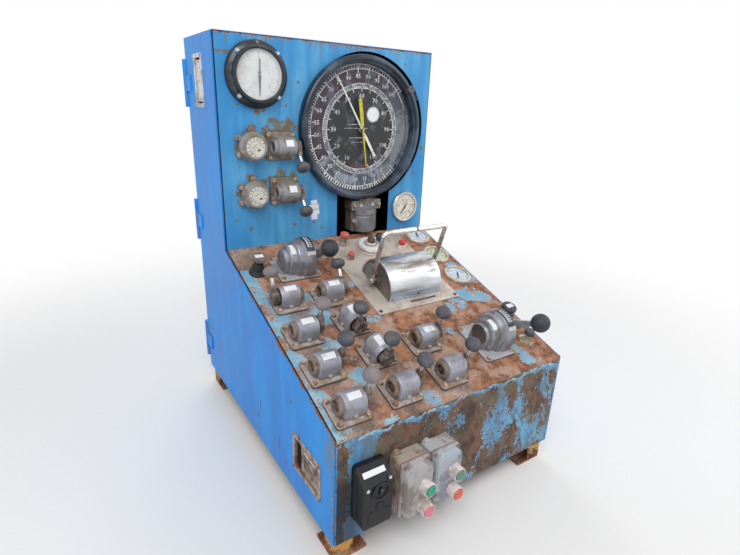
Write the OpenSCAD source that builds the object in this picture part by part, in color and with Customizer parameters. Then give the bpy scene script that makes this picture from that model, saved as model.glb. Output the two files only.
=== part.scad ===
// Driller's control console: a welded sheet-steel cabinet with an upright
// instrument panel, a sloping desk of lever valves, a side door and stub feet.
// Millimetres, +Z up. X runs to the driller's right and -Y faces the driller.
// The origin is on the floor at the middle of the four foot bolts.

/* [Cabinet] */
// Width over the side sheets
cab_w = 750; // [740:2:800]
// Depth from the front wall to the back sheet
cab_d = 960; // [940:5:1060]
// Height of the front wall
front_h = 290; // [284:2:340]
// Run of the sloping desk, measured level
desk_run = 680; // [676:2:700]
// Rise of the desk from its front edge to the upright panel
desk_rise = 236; // [220:2:250]
// Height of the upright instrument panel
panel_h = 604; // [600:2:680]
// Thickness of the cabinet sheets
sheet_t = 3; // [2:0.5:4]
// Thickness of the desk plate
desk_t = 6; // [4:1:8]
// Distance from the cabinet's outer faces in to the legs
foot_inset = 10; // [8:1:14]

/* [Frame and feet] */
// Leg length of the angle iron in the base frame and the feet
angle_leg = 50; // [40:1:56]
// Thickness of the angle iron
angle_t = 5; // [4:0.5:7]
// Height of the cabinet above the floor
foot_h = 65; // [55:1:120]
// Side of the square foot plate
foot_plate_w = 90; // [84:1:110]
// Thickness of the foot plate
foot_plate_t = 8; // [6:1:12]
// Diameter of the bolt hole in each foot plate
foot_hole_d = 14; // [11:1:18]
// Distance from a leg's outer faces to its bolt hole
foot_hole_inset = 62; // [58:1:66]

/* [Door] */
// Thickness of the door sheet
door_t = 4; // [3:0.5:5]
// Gap between the door sheet and the frame it shuts on
door_gap = 0.5; // [0.3:0.1:1]
// Width of the frame flange round the door opening
jamb_w = 40; // [34:1:50]
// Width of the stiffening rim inside the door
stiffener_w = 28; // [20:1:36]
// Depth of the stiffening rim
stiffener_d = 15; // [10:1:20]
// Radius of the hinge knuckles
knuckle_r = 8; // [7:0.5:10]
// Radius of the hinge pins
hinge_pin_r = 4; // [3:0.5:5]
// Length of one hinge
hinge_len = 140; // [120:5:180]
// Thickness of the hinge leaves
leaf_t = 4; // [3:0.5:5]

/* [Weight indicator] */
// Radius of the indicator's bezel
ind_r = 225; // [215:1:228]
// Radius of the indicator's dial
dial_r = 200; // [190:1:204]
// Depth of the bezel in front of the panel
ind_out = 34; // [28:1:40]
// Depth of the case behind the panel
ind_case_d = 70; // [50:5:110]
// Radius of the keyhole's round part
keyhole_r = 235; // [232:1:238]
// Width of the keyhole's slot
slot_w = 212; // [200:2:224]
// Distance from the keyhole's middle to the cabinet's right edge
keyhole_side = 258; // [256:1:262]
// Distance from the keyhole's middle down from the cabinet's top
keyhole_drop = 251; // [246:1:254]
// Distance that the indicator sits left of the keyhole's middle
ind_shift = 22; // [18:1:24]

/* [Gauges] */
// Radius of the round pressure gauge
gauge_r = 90; // [84:1:94]
// Radius of the small gauge at the right of the panel
small_gauge_r = 54; // [48:1:56]
// Radius of the three gauges flush in the desk
flush_gauge_r = 46; // [40:1:50]
// Radius of the two round regulators
regulator_r = 42; // [38:1:46]

/* [Lever valves] */
// Width of a small valve's base plate, along its shaft
valve_w = 92; // [88:1:96]
// Length of a small valve's base plate
valve_l = 84; // [80:1:90]
// Thickness of a base plate
valve_plate_t = 8; // [6:1:10]
// Radius of a small valve's barrel
valve_r = 28; // [25:0.5:30]
// Height of the lever shaft above the base
valve_axis_h = 31; // [30:0.5:34]
// Diameter of a small lever's shaft
shaft_d = 12; // [10:0.5:14]
// Radial running clearance of a shaft in its bore
shaft_gap = 0.08; // [0.05:0.01:0.1]
// Distance from the shaft to the middle of the knob
lever_len = 70; // [66:1:74]
// Diameter of a small knob
knob_d = 42; // [36:1:44]
// Height of a small knob
knob_h = 30; // [26:1:34]
// Diameter of a lever rod
rod_d = 10; // [8:0.5:12]

/* [Dome controllers] */
// Radius of the large dome controllers
dome_r = 57; // [54:1:60]
// Height of a dome controller's shaft above the base
dome_axis_h = 42; // [40:1:46]
// Diameter of the balls on the large levers
ball_d = 52; // [46:1:54]

/* [Twin levers] */
// Width of the bright hood between the twin levers
hood_w = 190; // [180:2:196]
// Outer radius of the hood
hood_r = 85; // [80:1:88]
// Wall of the hood
hood_wall = 4; // [3:0.5:6]
// Height of the twin levers' shafts above the plate
twin_axis_h = 28; // [26:1:32]
// Distance from the shafts to the hand bar
twin_len = 166; // [150:1:172]
// Gap between the hood's bearings and the lever arms
arm_gap = 6; // [5:0.5:8]
// Middle radius of the bend between a lever arm and its hand bar
elbow_r = 12; // [10:1:20]
// Diameter of the bright bars
bar_d = 14; // [12:0.5:16]
// Gap between the two hand bars
bar_gap = 7; // [6:0.5:12]

/* [Hidden] */
$fn = 48;

// Places across the panel and desk are measured from the cabinet's left edge,
// up from the seam between panel and desk, or down the slope from that seam.
// What sits nearer the right edge or the top keeps its distance from there.
slope = atan2(desk_rise, desk_run);
y_front = -cab_d / 2;
y_panel = y_front + desk_run;
y_back = cab_d / 2;
z_base = foot_h;
z_lip = z_base + front_h;
z_seam = z_lip + desk_rise;
z_top = z_seam + panel_h;
x_door = -cab_w / 2;
x_left = x_door + door_t + door_gap;
x_right = cab_w / 2;
xi0 = x_left + sheet_t;
xi1 = x_right - sheet_t;
desk_tv = desk_t / cos(slope);
eps = 1;

// Outline of the cabinet seen from the side, as [y, z] points
profile = [
    [y_back, z_base], [y_back, z_top], [y_panel, z_top],
    [y_panel, z_seam], [y_front, z_lip], [y_front, z_base]
];

// Indicator and gauges on the panel
keyhole_x = cab_w - keyhole_side;
ind_x = keyhole_x - ind_shift;
ind_z = panel_h - keyhole_drop;
gauge_x = 120;
gauge_z = panel_h - 105;
regulator_x = 95;
regulator_z = [gauge_z - 193, gauge_z - 332];
small_gauge_x = cab_w - 86;
small_gauge_z = 84;
flush_gauge_x = cab_w - 60;
flush_gauge_s = [65, 185, 305];

// Desk valves: [x, s, hand, turn, lean]. hand is 1 with the lever at the right
// end and -1 at the left; turn swings the valve about the desk's normal; lean
// tips the lever towards the driller at rest.
desk_valves = [
    [86, 277, -1, 0, -36],
    [208, 288, 1, 0, -48],
    [70, 408, 1, 0, 0],
    [213, 407, 1, -90, 10],
    [221, 531, 1, -90, 4],
    [66, 533, 1, 0, 3],
    [66, 656, 1, 0, -1],
    [214, 655, 1, 0, 3],
    [367, 534, 1, 0, 0],
    [367, 653, 1, 0, 4]
];

// Panel valves: [x, z, lean]
panel_valves = [[187, gauge_z - 194, 54], [195, gauge_z - 328, 53]];

// Dome controllers: [x, s, plate width, plate length, lever reach, lever length, lean]
controllers = [
    [170, 133, 130, 116, 62, 96, 45],
    [cab_w - 188, 592, 114, 140, 76, 108, 46]
];

// Push-pull knobs: [x, s, base radius, base height, knob radius, knob height, gap]
pull_knobs = [
    [55, 126, 25, 38, 21, 14, 8],
    [cab_w - 32, 518, 24, 12, 24, 15, 8],
    [cab_w - 58, 630, 23, 6, 16, 14, 18]
];

// Beige plate, hood and rotary control on the desk
plate_x = cab_w - 283;
plate_s = 216;
plate_w = 306;
plate_l = 370;
plate_t = 4;
plate_back = plate_s - plate_l / 2;
hood_x = plate_x - 2;
hood_s = plate_s + 68;
rotary_x = plate_x - 7;
rotary_s = plate_back + 66;

// Sprung buttons on the beige plate: [x, s, base radius, base height, cap radius]
buttons = [
    [plate_x - 89, plate_back + 26, 12, 34, 15],
    [plate_x - 98, plate_back + 99, 13, 10, 10],
    [plate_x + 116, plate_back + 82, 19, 12, 12]
];
cap_stem_r = 4;
button_travel = 3;
button_gap = button_travel + 0.5;

// Stations on the front wall: [x, z from the lip, width, height, depth], and for
// the grey ones [start, stop] buttons from the middle
black_station = [85, -150, 82, 150, 50];
grey_stations = [[191, -167, 82, 150, 66, [15, -45]], [281, -167, 82, 144, 66, [18, -38]]];

// Side hinges, and latches on the door as [y, z] and [width, height]
hinge_z = [z_base + 110, (z_base + z_top) / 2, z_top - 130];
hinge_x = x_door;
hinge_y = y_back + knuckle_r + 1;
upper_latch = [y_panel + 140, z_top - 124];
upper_latch_size = [82, 146];
lower_latch = [y_front + 134, z_lip - 158];
lower_latch_size = [147, 108];
latch_rim = 9;
latch_depth = 20;
latch_wall = 2;
latch_corner = 7;

// Frames of reference
module at_desk(x, s, up = 0) {
    translate([x - cab_w / 2, y_panel, z_seam]) rotate([slope, 0, 0]) translate([0, -s, up]) children();
}

module at_panel(x, z, out = 0) {
    translate([x - cab_w / 2, y_panel - out, z_seam + z]) rotate([90, 0, 0]) children();
}

module at_front(x, z, out = 0) {
    translate([x - cab_w / 2, y_front - out, z_lip + z]) rotate([90, 0, 0]) children();
}

// Prism along X between x0 and x1, from [y, z] points
module prism(x0, x1, points) {
    translate([x0, 0, 0]) rotate([90, 0, 90]) linear_extrude(x1 - x0) polygon(points);
}

// Box between two opposite corners
module span(a, b) {
    translate(a) cube(b - a);
}

// Moves each side of a counterclockwise outline inwards by d
function unit(v) = v / norm(v);
function inward(u, v, d) = d * ([-u.y, u.x] + [-v.y, v.x]) / (1 + u * v);
function inset(p, d) = [
    for (i = [0:len(p) - 1])
        p[i] + inward(
            unit(p[i] - p[(i + len(p) - 1) % len(p)]),
            unit(p[(i + 1) % len(p)] - p[i]),
            d
        )
];

// Flat plate with round corners, centred, standing on z = 0
module round_plate(w, l, t, r) {
    linear_extrude(t) {
        square([w - 2 * r, l], center = true);
        square([w, l - 2 * r], center = true);
        for (x = [-1, 1], y = [-1, 1]) translate([x * (w / 2 - r), y * (l / 2 - r)]) circle(r);
    }
}

// Cylinder along X from x0 to x1
module shaft_x(x0, x1, r) {
    translate([x0, 0, 0]) rotate([0, 90, 0]) cylinder(h = x1 - x0, r = r);
}

// Cabinet
module base_frame() {
    color("#6b5a4c") difference() {
        span([xi0, y_front + sheet_t, z_base], [xi1, y_back - sheet_t, z_base + angle_leg]);
        span([xi0 + angle_t, y_front + sheet_t + angle_t, z_base + angle_t],
             [xi1 - angle_t, y_back - sheet_t - angle_t, z_base + angle_leg + eps]);
        span([xi0 + angle_leg, y_front + sheet_t + angle_leg, z_base - eps],
             [xi1 - angle_leg, y_back - sheet_t - angle_leg, z_base + angle_leg]);
    }
}

foot_x = cab_w / 2 - foot_inset;
foot_y = cab_d / 2 - foot_inset;

module stub_foot() {
    difference() {
        union() {
            span([-foot_plate_w, -foot_plate_w, 0], [0, 0, foot_plate_t]);
            difference() {
                span([-angle_leg, -angle_leg, foot_plate_t], [0, 0, z_base]);
                span([-angle_leg - eps, -angle_leg - eps, foot_plate_t], [-angle_t, -angle_t, z_base + eps]);
            }
        }
        translate([-foot_hole_inset, -foot_hole_inset, -eps])
            cylinder(h = foot_plate_t + 2 * eps, d = foot_hole_d);
    }
}

module stub_feet() {
    color("#b8772f") {
        for (x = [0, 1], y = [0, 1])
            mirror([x, 0, 0]) mirror([0, y, 0]) translate([foot_x, foot_y, 0]) stub_foot();
    }
}

module right_side() {
    color("#4a8fd0") prism(xi1, x_right, profile);
}

module back_panel() {
    color("#4a8fd0") span([xi0, y_back - sheet_t, z_base], [xi1, y_back, z_top - sheet_t]);
}

module roof() {
    color("#4a8fd0") span([xi0, y_panel, z_top - sheet_t], [xi1, y_back, z_top]);
}

module instrument_panel() {
    through = sheet_t + 2 * eps;
    color("#5b9bd0") difference() {
        span([xi0, y_panel, z_seam], [xi1, y_panel + sheet_t, z_top - sheet_t]);
        at_panel(keyhole_x, ind_z, -sheet_t - eps) cylinder(h = through, r = keyhole_r);
        at_panel(keyhole_x, 0, -sheet_t - eps)
            translate([-slot_w / 2, -eps, 0]) cube([slot_w, ind_z, through]);
        at_panel(gauge_x, gauge_z, -sheet_t - eps) cylinder(h = through, r = gauge_body_r + 2);
    }
}

module desk_plate() {
    color("#a9714f") difference() {
        prism(xi0, xi1, [
            [y_front, z_lip], [y_front, z_lip - desk_tv],
            [y_panel + sheet_t, z_seam - desk_tv], [y_panel + sheet_t, z_seam], [y_panel, z_seam]
        ]);
        for (s = flush_gauge_s)
            at_desk(flush_gauge_x, s, -3 * desk_t) cylinder(h = 4 * desk_t, r = flush_body_r + 1);
        for (k = pull_knobs)
            at_desk(k[0], k[1], -3 * desk_t) cylinder(h = 4 * desk_t, r = knob_stem_r + 1);
    }
}

module front_wall() {
    color("#7d8a80") prism(xi0, xi1, [
        [y_front, z_base], [y_front + sheet_t, z_base],
        [y_front + sheet_t, z_lip - desk_tv + sheet_t * tan(slope)], [y_front, z_lip - desk_tv]
    ]);
}

module door_frame() {
    color("#4a8fd0") difference() {
        prism(x_left, xi0, profile);
        prism(x_left - eps, xi0 + eps, inset(profile, jamb_w));
    }
}

// Door, hinges and latches
knuckle_len = hinge_len / 3;
knuckle_play = 0.5;
middle_len = knuckle_len - 2 * knuckle_play;
leaf_w = 50;
door_inset = 2;
stiffener_inset = max(jamb_w, angle_leg) + 5;

module hinge_pins() {
    color("#4583bd") for (z = hinge_z) {
        translate([hinge_x, hinge_y, z - hinge_len / 2]) cylinder(h = hinge_len, r = hinge_pin_r);
        for (side = [-1, 1]) {
            translate([0, 0, z + side * knuckle_len - knuckle_len / 2]) {
                translate([hinge_x, hinge_y, 0]) cylinder(h = knuckle_len, r = knuckle_r);
                span([hinge_x, y_back, 0], [hinge_x + leaf_w, y_back + leaf_t, knuckle_len]);
            }
        }
    }
}

module side_door() {
    color("#4a93dc") difference() {
        union() {
            prism(x_door, x_door + door_t, inset(profile, door_inset));
            difference() {
                prism(x_door + door_t, x_door + door_t + stiffener_d, inset(profile, stiffener_inset));
                prism(x_door, x_door + 2 * stiffener_d, inset(profile, stiffener_inset + stiffener_w));
            }
            for (z = hinge_z) translate([0, 0, z - middle_len / 2]) {
                translate([hinge_x, hinge_y, 0]) cylinder(h = middle_len, r = knuckle_r);
                span([x_door - leaf_t, y_back - leaf_w, 0], [x_door, hinge_y, middle_len]);
            }
        }
        for (z = hinge_z) translate([hinge_x, hinge_y, z - hinge_len / 2])
            cylinder(h = hinge_len, r = hinge_pin_r + shaft_gap);
        latch_cut(upper_latch, well_of(upper_latch_size));
        latch_cut(lower_latch, well_of(lower_latch_size));
    }
}

function well_of(outer) = outer - 2 * latch_rim * [1, 1];
function tray_of(outer) = well_of(outer) - 2 * latch_wall * [1, 1];

module latch_cut(at, size) {
    span([x_door - leaf_t - eps, at.x - size.x / 2, at.y - size.y / 2],
         [x_door + stiffener_d + 2 * door_t, at.x + size.x / 2, at.y + size.y / 2]);
}

// Dished plate: a rim on the door's outer face and a tray sunk into the door
module latch_dish(at, outer) {
    inner = well_of(outer);
    tray = tray_of(outer);
    difference() {
        union() {
            translate([x_door - latch_wall, at.x, at.y]) rotate([90, 0, 90])
                round_plate(outer.x, outer.y, latch_wall, latch_corner);
            span([x_door - latch_wall, at.x - inner.x / 2, at.y - inner.y / 2],
                 [x_door + latch_depth, at.x + inner.x / 2, at.y + inner.y / 2]);
        }
        span([x_door - 2 * latch_wall, at.x - tray.x / 2, at.y - tray.y / 2],
             [x_door + latch_depth - latch_wall, at.x + tray.x / 2, at.y + tray.y / 2]);
    }
}

module latch_dishes() {
    color("#c3bdb2") {
        latch_dish(upper_latch, upper_latch_size);
        latch_dish(lower_latch, lower_latch_size);
    }
}

// Paddles: each turns on a pin set in from one edge of its tray
paddle_t = 4;
paddle_gap = 5;
paddle_corner = 5;
paddle_x = x_door + 6;
paddle_barrel_r = 5;
paddle_pin_r = 2.5;
pin_play = 0.2;
pin_inset = 9;
lower_paddle_w = 85;

// Paddle that hangs from a pin across the top of its tray
module upper_paddle() {
    tray = tray_of(upper_latch_size);
    w = tray.x - 2 * paddle_gap;
    h = tray.y - pin_inset - paddle_gap;
    pin_z = upper_latch.y + tray.y / 2 - pin_inset;
    color("#cfc8bd") {
        translate([paddle_x, upper_latch.x - tray.x / 2 + pin_play, pin_z]) rotate([-90, 0, 0])
            cylinder(h = tray.x - 2 * pin_play, r = paddle_pin_r);
        translate([paddle_x, upper_latch.x + w / 2, pin_z]) rotate([90, 0, 0])
            cylinder(h = w, r = paddle_barrel_r);
        translate([paddle_x - paddle_t, upper_latch.x, pin_z - h / 2]) rotate([90, 0, 90])
            round_plate(w, h, paddle_t, paddle_corner);
    }
}

// Paddle that turns on an upright pin at the front of its tray
module lower_paddle() {
    tray = tray_of(lower_latch_size);
    h = tray.y - 2 * paddle_gap;
    pin_y = lower_latch.x - tray.x / 2 + pin_inset;
    color("#b59b86") {
        translate([paddle_x, pin_y, lower_latch.y - tray.y / 2 + pin_play])
            cylinder(h = tray.y - 2 * pin_play, r = paddle_pin_r);
        translate([paddle_x, pin_y, lower_latch.y - h / 2]) cylinder(h = h, r = paddle_barrel_r);
        translate([paddle_x - paddle_t, pin_y + lower_paddle_w / 2, lower_latch.y]) rotate([90, 0, 90])
            round_plate(lower_paddle_w, h, paddle_t, paddle_corner);
    }
}

// Instruments on the upright panel
dial_out = 4;
bezel_round = 12;
bezel_back = 2;
lug_angles = [30, 150, 215, 325];
lug_w = 44;
lug_t = 6;
lug_r0 = 160;
lug_r1 = 262;
adjuster_r = 9;
adjuster_h = 14;
adjuster_inset = 10;
adjuster_angle = 38;

module weight_indicator() {
    color("#2c3036") difference() {
        union() {
            at_panel(ind_x, ind_z, bezel_back) rotate_extrude($fn = 96) bezel_section();
            at_panel(ind_x, ind_z, -ind_case_d) rotate_extrude($fn = 96) case_section();
            for (a = lug_angles) indicator_lug(a);
            at_panel(ind_x, ind_z, ind_out - adjuster_h / 2) rotate([0, 0, adjuster_angle])
                translate([ind_r - adjuster_inset, 0, 0]) cylinder(h = adjuster_h, r = adjuster_r);
        }
        at_panel(ind_x, ind_z, dial_out) cylinder(h = ind_out, r = dial_r, $fn = 96);
    }
}

// Half section of the bezel: a rounded ring that slopes in to the dial in two steps
module bezel_section() {
    depth = ind_out - bezel_back;
    lip = bezel_round / 2;
    polygon(concat(
        [[dial_r - lip, 0], [ind_r - lip, 0], [ind_r, lip]],
        [for (a = [0:15:90]) [ind_r, depth] + bezel_round * [cos(a) - 1, sin(a) - 1]],
        [[dial_r + lip, depth - lip / 2], [dial_r + lip, depth - lip], [dial_r, depth - lip],
         [dial_r, depth - 2 * lip], [dial_r - lip, depth - 2 * lip]]
    ));
}

// Half section of the spun case, with its back edge rounded
module case_section() {
    polygon(concat(
        [[0, ind_case_d + dial_out], [0, 0]],
        [for (a = [-90:15:0]) [dial_r, 0] + bezel_round * [cos(a) - 1, sin(a) + 1]],
        [[dial_r, ind_case_d + dial_out]]
    ));
}

// Lug that carries the case on the back of the panel
module indicator_lug(a) {
    at_panel(keyhole_x, ind_z, -sheet_t - lug_t) rotate([0, 0, a]) translate([lug_r0, -lug_w / 2, 0])
        cube([lug_r1 - lug_r0, lug_w, lug_t]);
}

// Two hands on one arbor, cut from thin sheet: a long one and, in front of it, a
// short one. Each is [height above the dial, angle, tip, tail, width of the tail].
hands = [[9, 121, 178, 96, 10], [14, -82, 118, 96, 12]];
hand_t = 2;
hand_tip_w = 3;
hand_waist = 5;
arbor_r = 5;
arbor_base_r = 9;

module hand(tip, tail, tail_w) {
    linear_extrude(hand_t) polygon([
        [tip, -hand_tip_w / 2], [tip, hand_tip_w / 2], [0, hand_waist / 2], [-tail / 4, tail_w / 2],
        [-tail, tail_w / 2], [-tail, -tail_w / 2], [-tail / 4, -tail_w / 2], [0, -hand_waist / 2]
    ]);
}

module indicator_pointers() {
    color("#e8e6dc") at_panel(ind_x, ind_z, dial_out) {
        cylinder(h = hands[1][0] + 2 * hand_t, r = arbor_r);
        cylinder(h = arbor_r, r = arbor_base_r);
        for (h = hands) translate([0, 0, h[0]]) rotate([0, 0, h[1]]) hand(h[2], h[3], h[4]);
    }
}

// Damper in the slot under the indicator: a neck up to the case, a flanged top
// block, a back plate, and a cast pot with a groove round each end. Boxes are
// [half width, z0, z1, out0, out1].
damper_x = keyhole_x + 4;
damper_r = 44;
damper_in = 8;
damper_cap_h = 33;
damper_cap_gap = 7;
damper_z0 = 10;
damper_z1 = ind_z - ind_r - damper_cap_gap - damper_cap_h;
damper_round = min(6, (damper_z1 - damper_z0) / 8);
damper_groove = damper_round / 2;
neck_bite = 23;
damper_boxes = [
    [40, damper_z1, ind_z - dial_r + neck_bite, -40, 0],
    [59, damper_z1 - eps, damper_z1 + damper_cap_h, -40, 14],
    [52, damper_z0, damper_z1, -45, 0]
];
nozzle_r = 8;
nozzle_out = 12;

module damper() {
    middle = (damper_z0 + damper_z1) / 2;
    color("#7d7b76") {
        difference() {
            for (b = damper_boxes) at_panel(damper_x, 0) span([-b[0], b[1], b[3]], [b[0], b[2], b[4]]);
            at_panel(ind_x, ind_z, -2 * ind_case_d) cylinder(h = 3 * ind_case_d, r = dial_r, $fn = 96);
        }
        translate([damper_x - cab_w / 2, y_panel + damper_in, z_seam]) rotate_extrude() damper_section();
        at_panel(damper_x - damper_r, middle, -eps) cylinder(h = nozzle_out + eps, r = nozzle_r);
    }
}

module damper_section() {
    low = damper_z0 + 2 * damper_round;
    high = damper_z1 - 2 * damper_round;
    polygon([
        [0, damper_z0], [damper_r - damper_round, damper_z0], [damper_r, damper_z0 + damper_round],
        [damper_r, low], [damper_r - damper_groove, low + damper_groove],
        [damper_r - damper_groove, high - damper_groove],
        [damper_r, high], [damper_r, damper_z1], [0, damper_z1]
    ]);
}

// Pressure gauge: a turned flange that steps up to a window ring, with the dial
// sunk in it, a drum behind the panel and acorn nuts on four studs
gauge_body_r = 60;
gauge_body_d = 40;
gauge_flange_h = 12;
gauge_shoulder_h = 22;
gauge_h = 36;
gauge_shoulder = 14;
window_r = gauge_r - 24;
window_depth = 8;
stud_inset = 9;
nut_r = 6.5;
nut_h = 8;
nut_cap_r = 4.5;
nut_cap_h = 4;

module pressure_gauge() {
    color("#23262a") at_panel(gauge_x, gauge_z) difference() {
        union() {
            rotate_extrude($fn = 72) polygon([
                [0, 0], [gauge_r, 0], [gauge_r, gauge_flange_h],
                [gauge_r - gauge_shoulder / 3, (gauge_flange_h + gauge_shoulder_h) / 2 + 1],
                [gauge_r - gauge_shoulder, gauge_shoulder_h], [gauge_r - gauge_shoulder - 2, gauge_h],
                [window_r + 2, gauge_h], [window_r, gauge_h - 2], [0, gauge_h - 2]
            ]);
            translate([0, 0, -gauge_body_d]) cylinder(h = gauge_body_d + eps, r = gauge_body_r);
            for (a = [45:90:315]) rotate([0, 0, a])
                translate([gauge_r - stud_inset, 0, gauge_shoulder_h - nut_cap_r]) acorn_nut();
        }
        translate([0, 0, gauge_h - window_depth]) cylinder(h = window_depth + eps, r = window_r, $fn = 72);
    }
}

module acorn_nut() {
    cylinder(h = nut_h, r = nut_r, $fn = 6);
    translate([0, 0, nut_h]) cylinder(h = nut_cap_h / 2, r = nut_cap_r);
    translate([0, 0, nut_h + nut_cap_h / 2]) cylinder(h = nut_cap_h / 2, r1 = nut_cap_r, r2 = nut_cap_r / 2);
}

// Small gauges: a ring with its outer edge rounded and a sunk dial. The three in
// the desk have a drum that passes through it.
gauge_lip_w = 8;
gauge_dial_depth = 4;
gauge_edge = 3;
small_gauge_h = 16;
flush_gauge_h = 9;
flush_body_r = flush_gauge_r - 5;
flush_body_d = 34;

module ring_gauge(r, h) {
    difference() {
        rotate_extrude() polygon([
            [0, 0], [r - 1, 0], [r, 1], [r, h - gauge_edge], [r - gauge_edge / 3, h - gauge_edge / 3],
            [r - gauge_edge, h], [0, h]
        ]);
        translate([0, 0, h - gauge_dial_depth]) cylinder(h = gauge_dial_depth + eps, r = r - gauge_lip_w);
    }
}

module small_gauges() {
    color("#d9d6cc") {
        at_panel(small_gauge_x, small_gauge_z) ring_gauge(small_gauge_r, small_gauge_h);
        for (s = flush_gauge_s) at_desk(flush_gauge_x, s) {
            ring_gauge(flush_gauge_r, flush_gauge_h);
            translate([0, 0, -flush_body_d]) cylinder(h = flush_body_d + eps, r = flush_body_r);
        }
    }
}

// Regulator: a waisted foot, a rim, a neck that narrows to a sunk face, and
// three ears whose ends are round
waist_r = regulator_r - 6;
regulator_foot_h = 16;
regulator_rim_h = 32;
regulator_h = 46;
regulator_face_inset = 13;
regulator_face_depth = 2;
ear_angles = [88, 148, 212];
ear_h = 12;
ear_r = 10;
ear_out = 2;

module regulators() {
    color("#6f6358") for (z = regulator_z) at_panel(regulator_x, z) difference() {
        union() {
            rotate_extrude() polygon([
                [0, 0], [waist_r, 0], [waist_r, regulator_foot_h], [regulator_r, regulator_foot_h + 4],
                [regulator_r, regulator_rim_h - 2], [regulator_r - 2, regulator_rim_h],
                [regulator_r - 5, regulator_rim_h + 6], [regulator_r - 8, regulator_h], [0, regulator_h]
            ]);
            for (a = ear_angles) rotate([0, 0, a]) linear_extrude(ear_h) {
                translate([regulator_r + ear_out, 0]) circle(ear_r);
                translate([regulator_r / 2, -ear_r]) square([regulator_r / 2 + ear_out, 2 * ear_r]);
            }
        }
        translate([0, 0, regulator_h - regulator_face_depth])
            cylinder(h = 2 * regulator_face_depth, r = regulator_r - regulator_face_inset);
    }
}

// Solid turned about the X axis, from [x, radius] points
module turned(points) {
    rotate([0, 90, 0]) rotate_extrude() polygon([for (p = points) [p[1], p[0]]]);
}

// Small valve: a base plate, a barrel along X on straight cheeks, an end boss
// with a hexagon sunk in it, and a bore at the lever end
valve_corner = 9;
barrel_x0 = -25;
barrel_x1 = 32;
barrel_edge = 3;
boss_l = 11;
boss_r = valve_r - 6;
boss_edge = 2;
socket_r = 13;
socket_depth = 5;
bore_l = 30;

module small_valve_body() {
    difference() {
        union() {
            round_plate(valve_w, valve_l, valve_plate_t, valve_corner);
            translate([0, 0, valve_axis_h]) turned([
                [barrel_x0, 0], [barrel_x0, valve_r - barrel_edge], [barrel_x0 + barrel_edge, valve_r],
                [barrel_x1 - boss_edge, valve_r], [barrel_x1, valve_r - boss_edge], [barrel_x1, 0]
            ]);
            span([barrel_x0 + barrel_edge, -valve_r, 0], [barrel_x1 - boss_edge, valve_r, valve_axis_h]);
            translate([0, 0, valve_axis_h]) turned([
                [barrel_x0 - boss_l, 0], [barrel_x0 - boss_l, boss_r - boss_edge],
                [barrel_x0 - boss_l + boss_edge, boss_r], [barrel_x0 + eps, boss_r], [barrel_x0 + eps, 0]
            ]);
            span([barrel_x0 - boss_l + boss_edge, -boss_r, 0], [barrel_x0 + eps, boss_r, valve_axis_h]);
        }
        translate([0, 0, valve_axis_h])
            shaft_x(barrel_x1 - bore_l, barrel_x1 + eps, shaft_d / 2 + shaft_gap);
        translate([barrel_x0 - boss_l - eps, 0, valve_axis_h]) rotate([0, 90, 0])
            cylinder(h = socket_depth + eps, r = socket_r, $fn = 6);
    }
}

// Knob like a flattened ball, centred: a superellipse turned about Z
module flat_knob(d, h) {
    rotate_extrude() polygon([
        for (a = [-90:15:90]) [d / 2 * pow(cos(a), 0.86), h / 2 * sign(sin(a)) * pow(abs(sin(a)), 0.92)]
    ]);
}

// Lever: a shaft, a hub with grooves turned in it, a block that tapers to a rod, and a knob
hub_gap = 0.5;
hub_x0 = barrel_x1 + hub_gap;
hub_l = 18.5;
hub_r = 19;
hub_rings = 3;
groove_d = 3;
groove_w = 1;
block_w = 22;
block_top_w = 13;
block_h = 33;

module lever_hub() {
    ring = hub_l / hub_rings;
    tooth = [[0, groove_d], [groove_w, 0], [ring - 1.5 * groove_w, 0], [ring - groove_w / 2, groove_d]];
    turned(concat(
        [[hub_x0, 0]],
        [for (i = [0:hub_rings - 1], p = tooth) [hub_x0 + i * ring + p[0], hub_r - p[1]]],
        [[hub_x0 + hub_l, hub_r - groove_d], [hub_x0 + hub_l, 0]]
    ));
}

module small_lever(lean) {
    middle = hub_x0 + hub_l / 2;
    rotate([lean, 0, 0]) {
        shaft_x(barrel_x1 - bore_l + 2, hub_x0 + eps, shaft_d / 2);
        lever_hub();
        prism(hub_x0 + eps, hub_x0 + hub_l - eps, [
            [-block_w / 2, 0], [block_w / 2, 0], [block_w / 2, 0.6 * block_h], [block_top_w / 2, block_h],
            [-block_top_w / 2, block_h], [-block_w / 2, 0.6 * block_h]
        ]);
        translate([middle, 0, block_h - 2]) cylinder(h = lever_len - block_h, d = rod_d);
        translate([middle, 0, lever_len]) flat_knob(knob_d, knob_h);
    }
}

module at_desk_valve(v) {
    at_desk(v[0], v[1]) rotate([0, 0, v[3]]) mirror([v[2] < 0 ? 1 : 0, 0, 0]) children();
}

module desk_valve_bodies() {
    color("#857e78") for (v = desk_valves) at_desk_valve(v) small_valve_body();
}

module desk_lever(i) {
    v = desk_valves[i];
    color("#5a5756") at_desk_valve(v) translate([0, 0, valve_axis_h]) small_lever(v[4]);
}

module panel_valve_bodies() {
    color("#7c7067") for (v = panel_valves) at_panel(v[0], v[1]) small_valve_body();
}

module panel_lever(i) {
    v = panel_valves[i];
    color("#5d5048") at_panel(v[0], v[1]) translate([0, 0, valve_axis_h]) small_lever(v[2]);
}

// Dome controller: a bell of turned steps along X, each [x0, x1, radius] and
// carried down to the base plate on cheeks, with the lever's bore at the right
dome_steps = [[-46, -34, 31], [-34, -12, 40], [-12, 6, 50], [6, 42, dome_r]];
dome_edge = 3;
dome_corner = 8;
dome_boss_r = 24;
dome_boss_x = 49;
dome_dish_r = 24;
dome_dish_depth = 3;
dome_shaft_r = 8;
dome_bore_l = 26;

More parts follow.
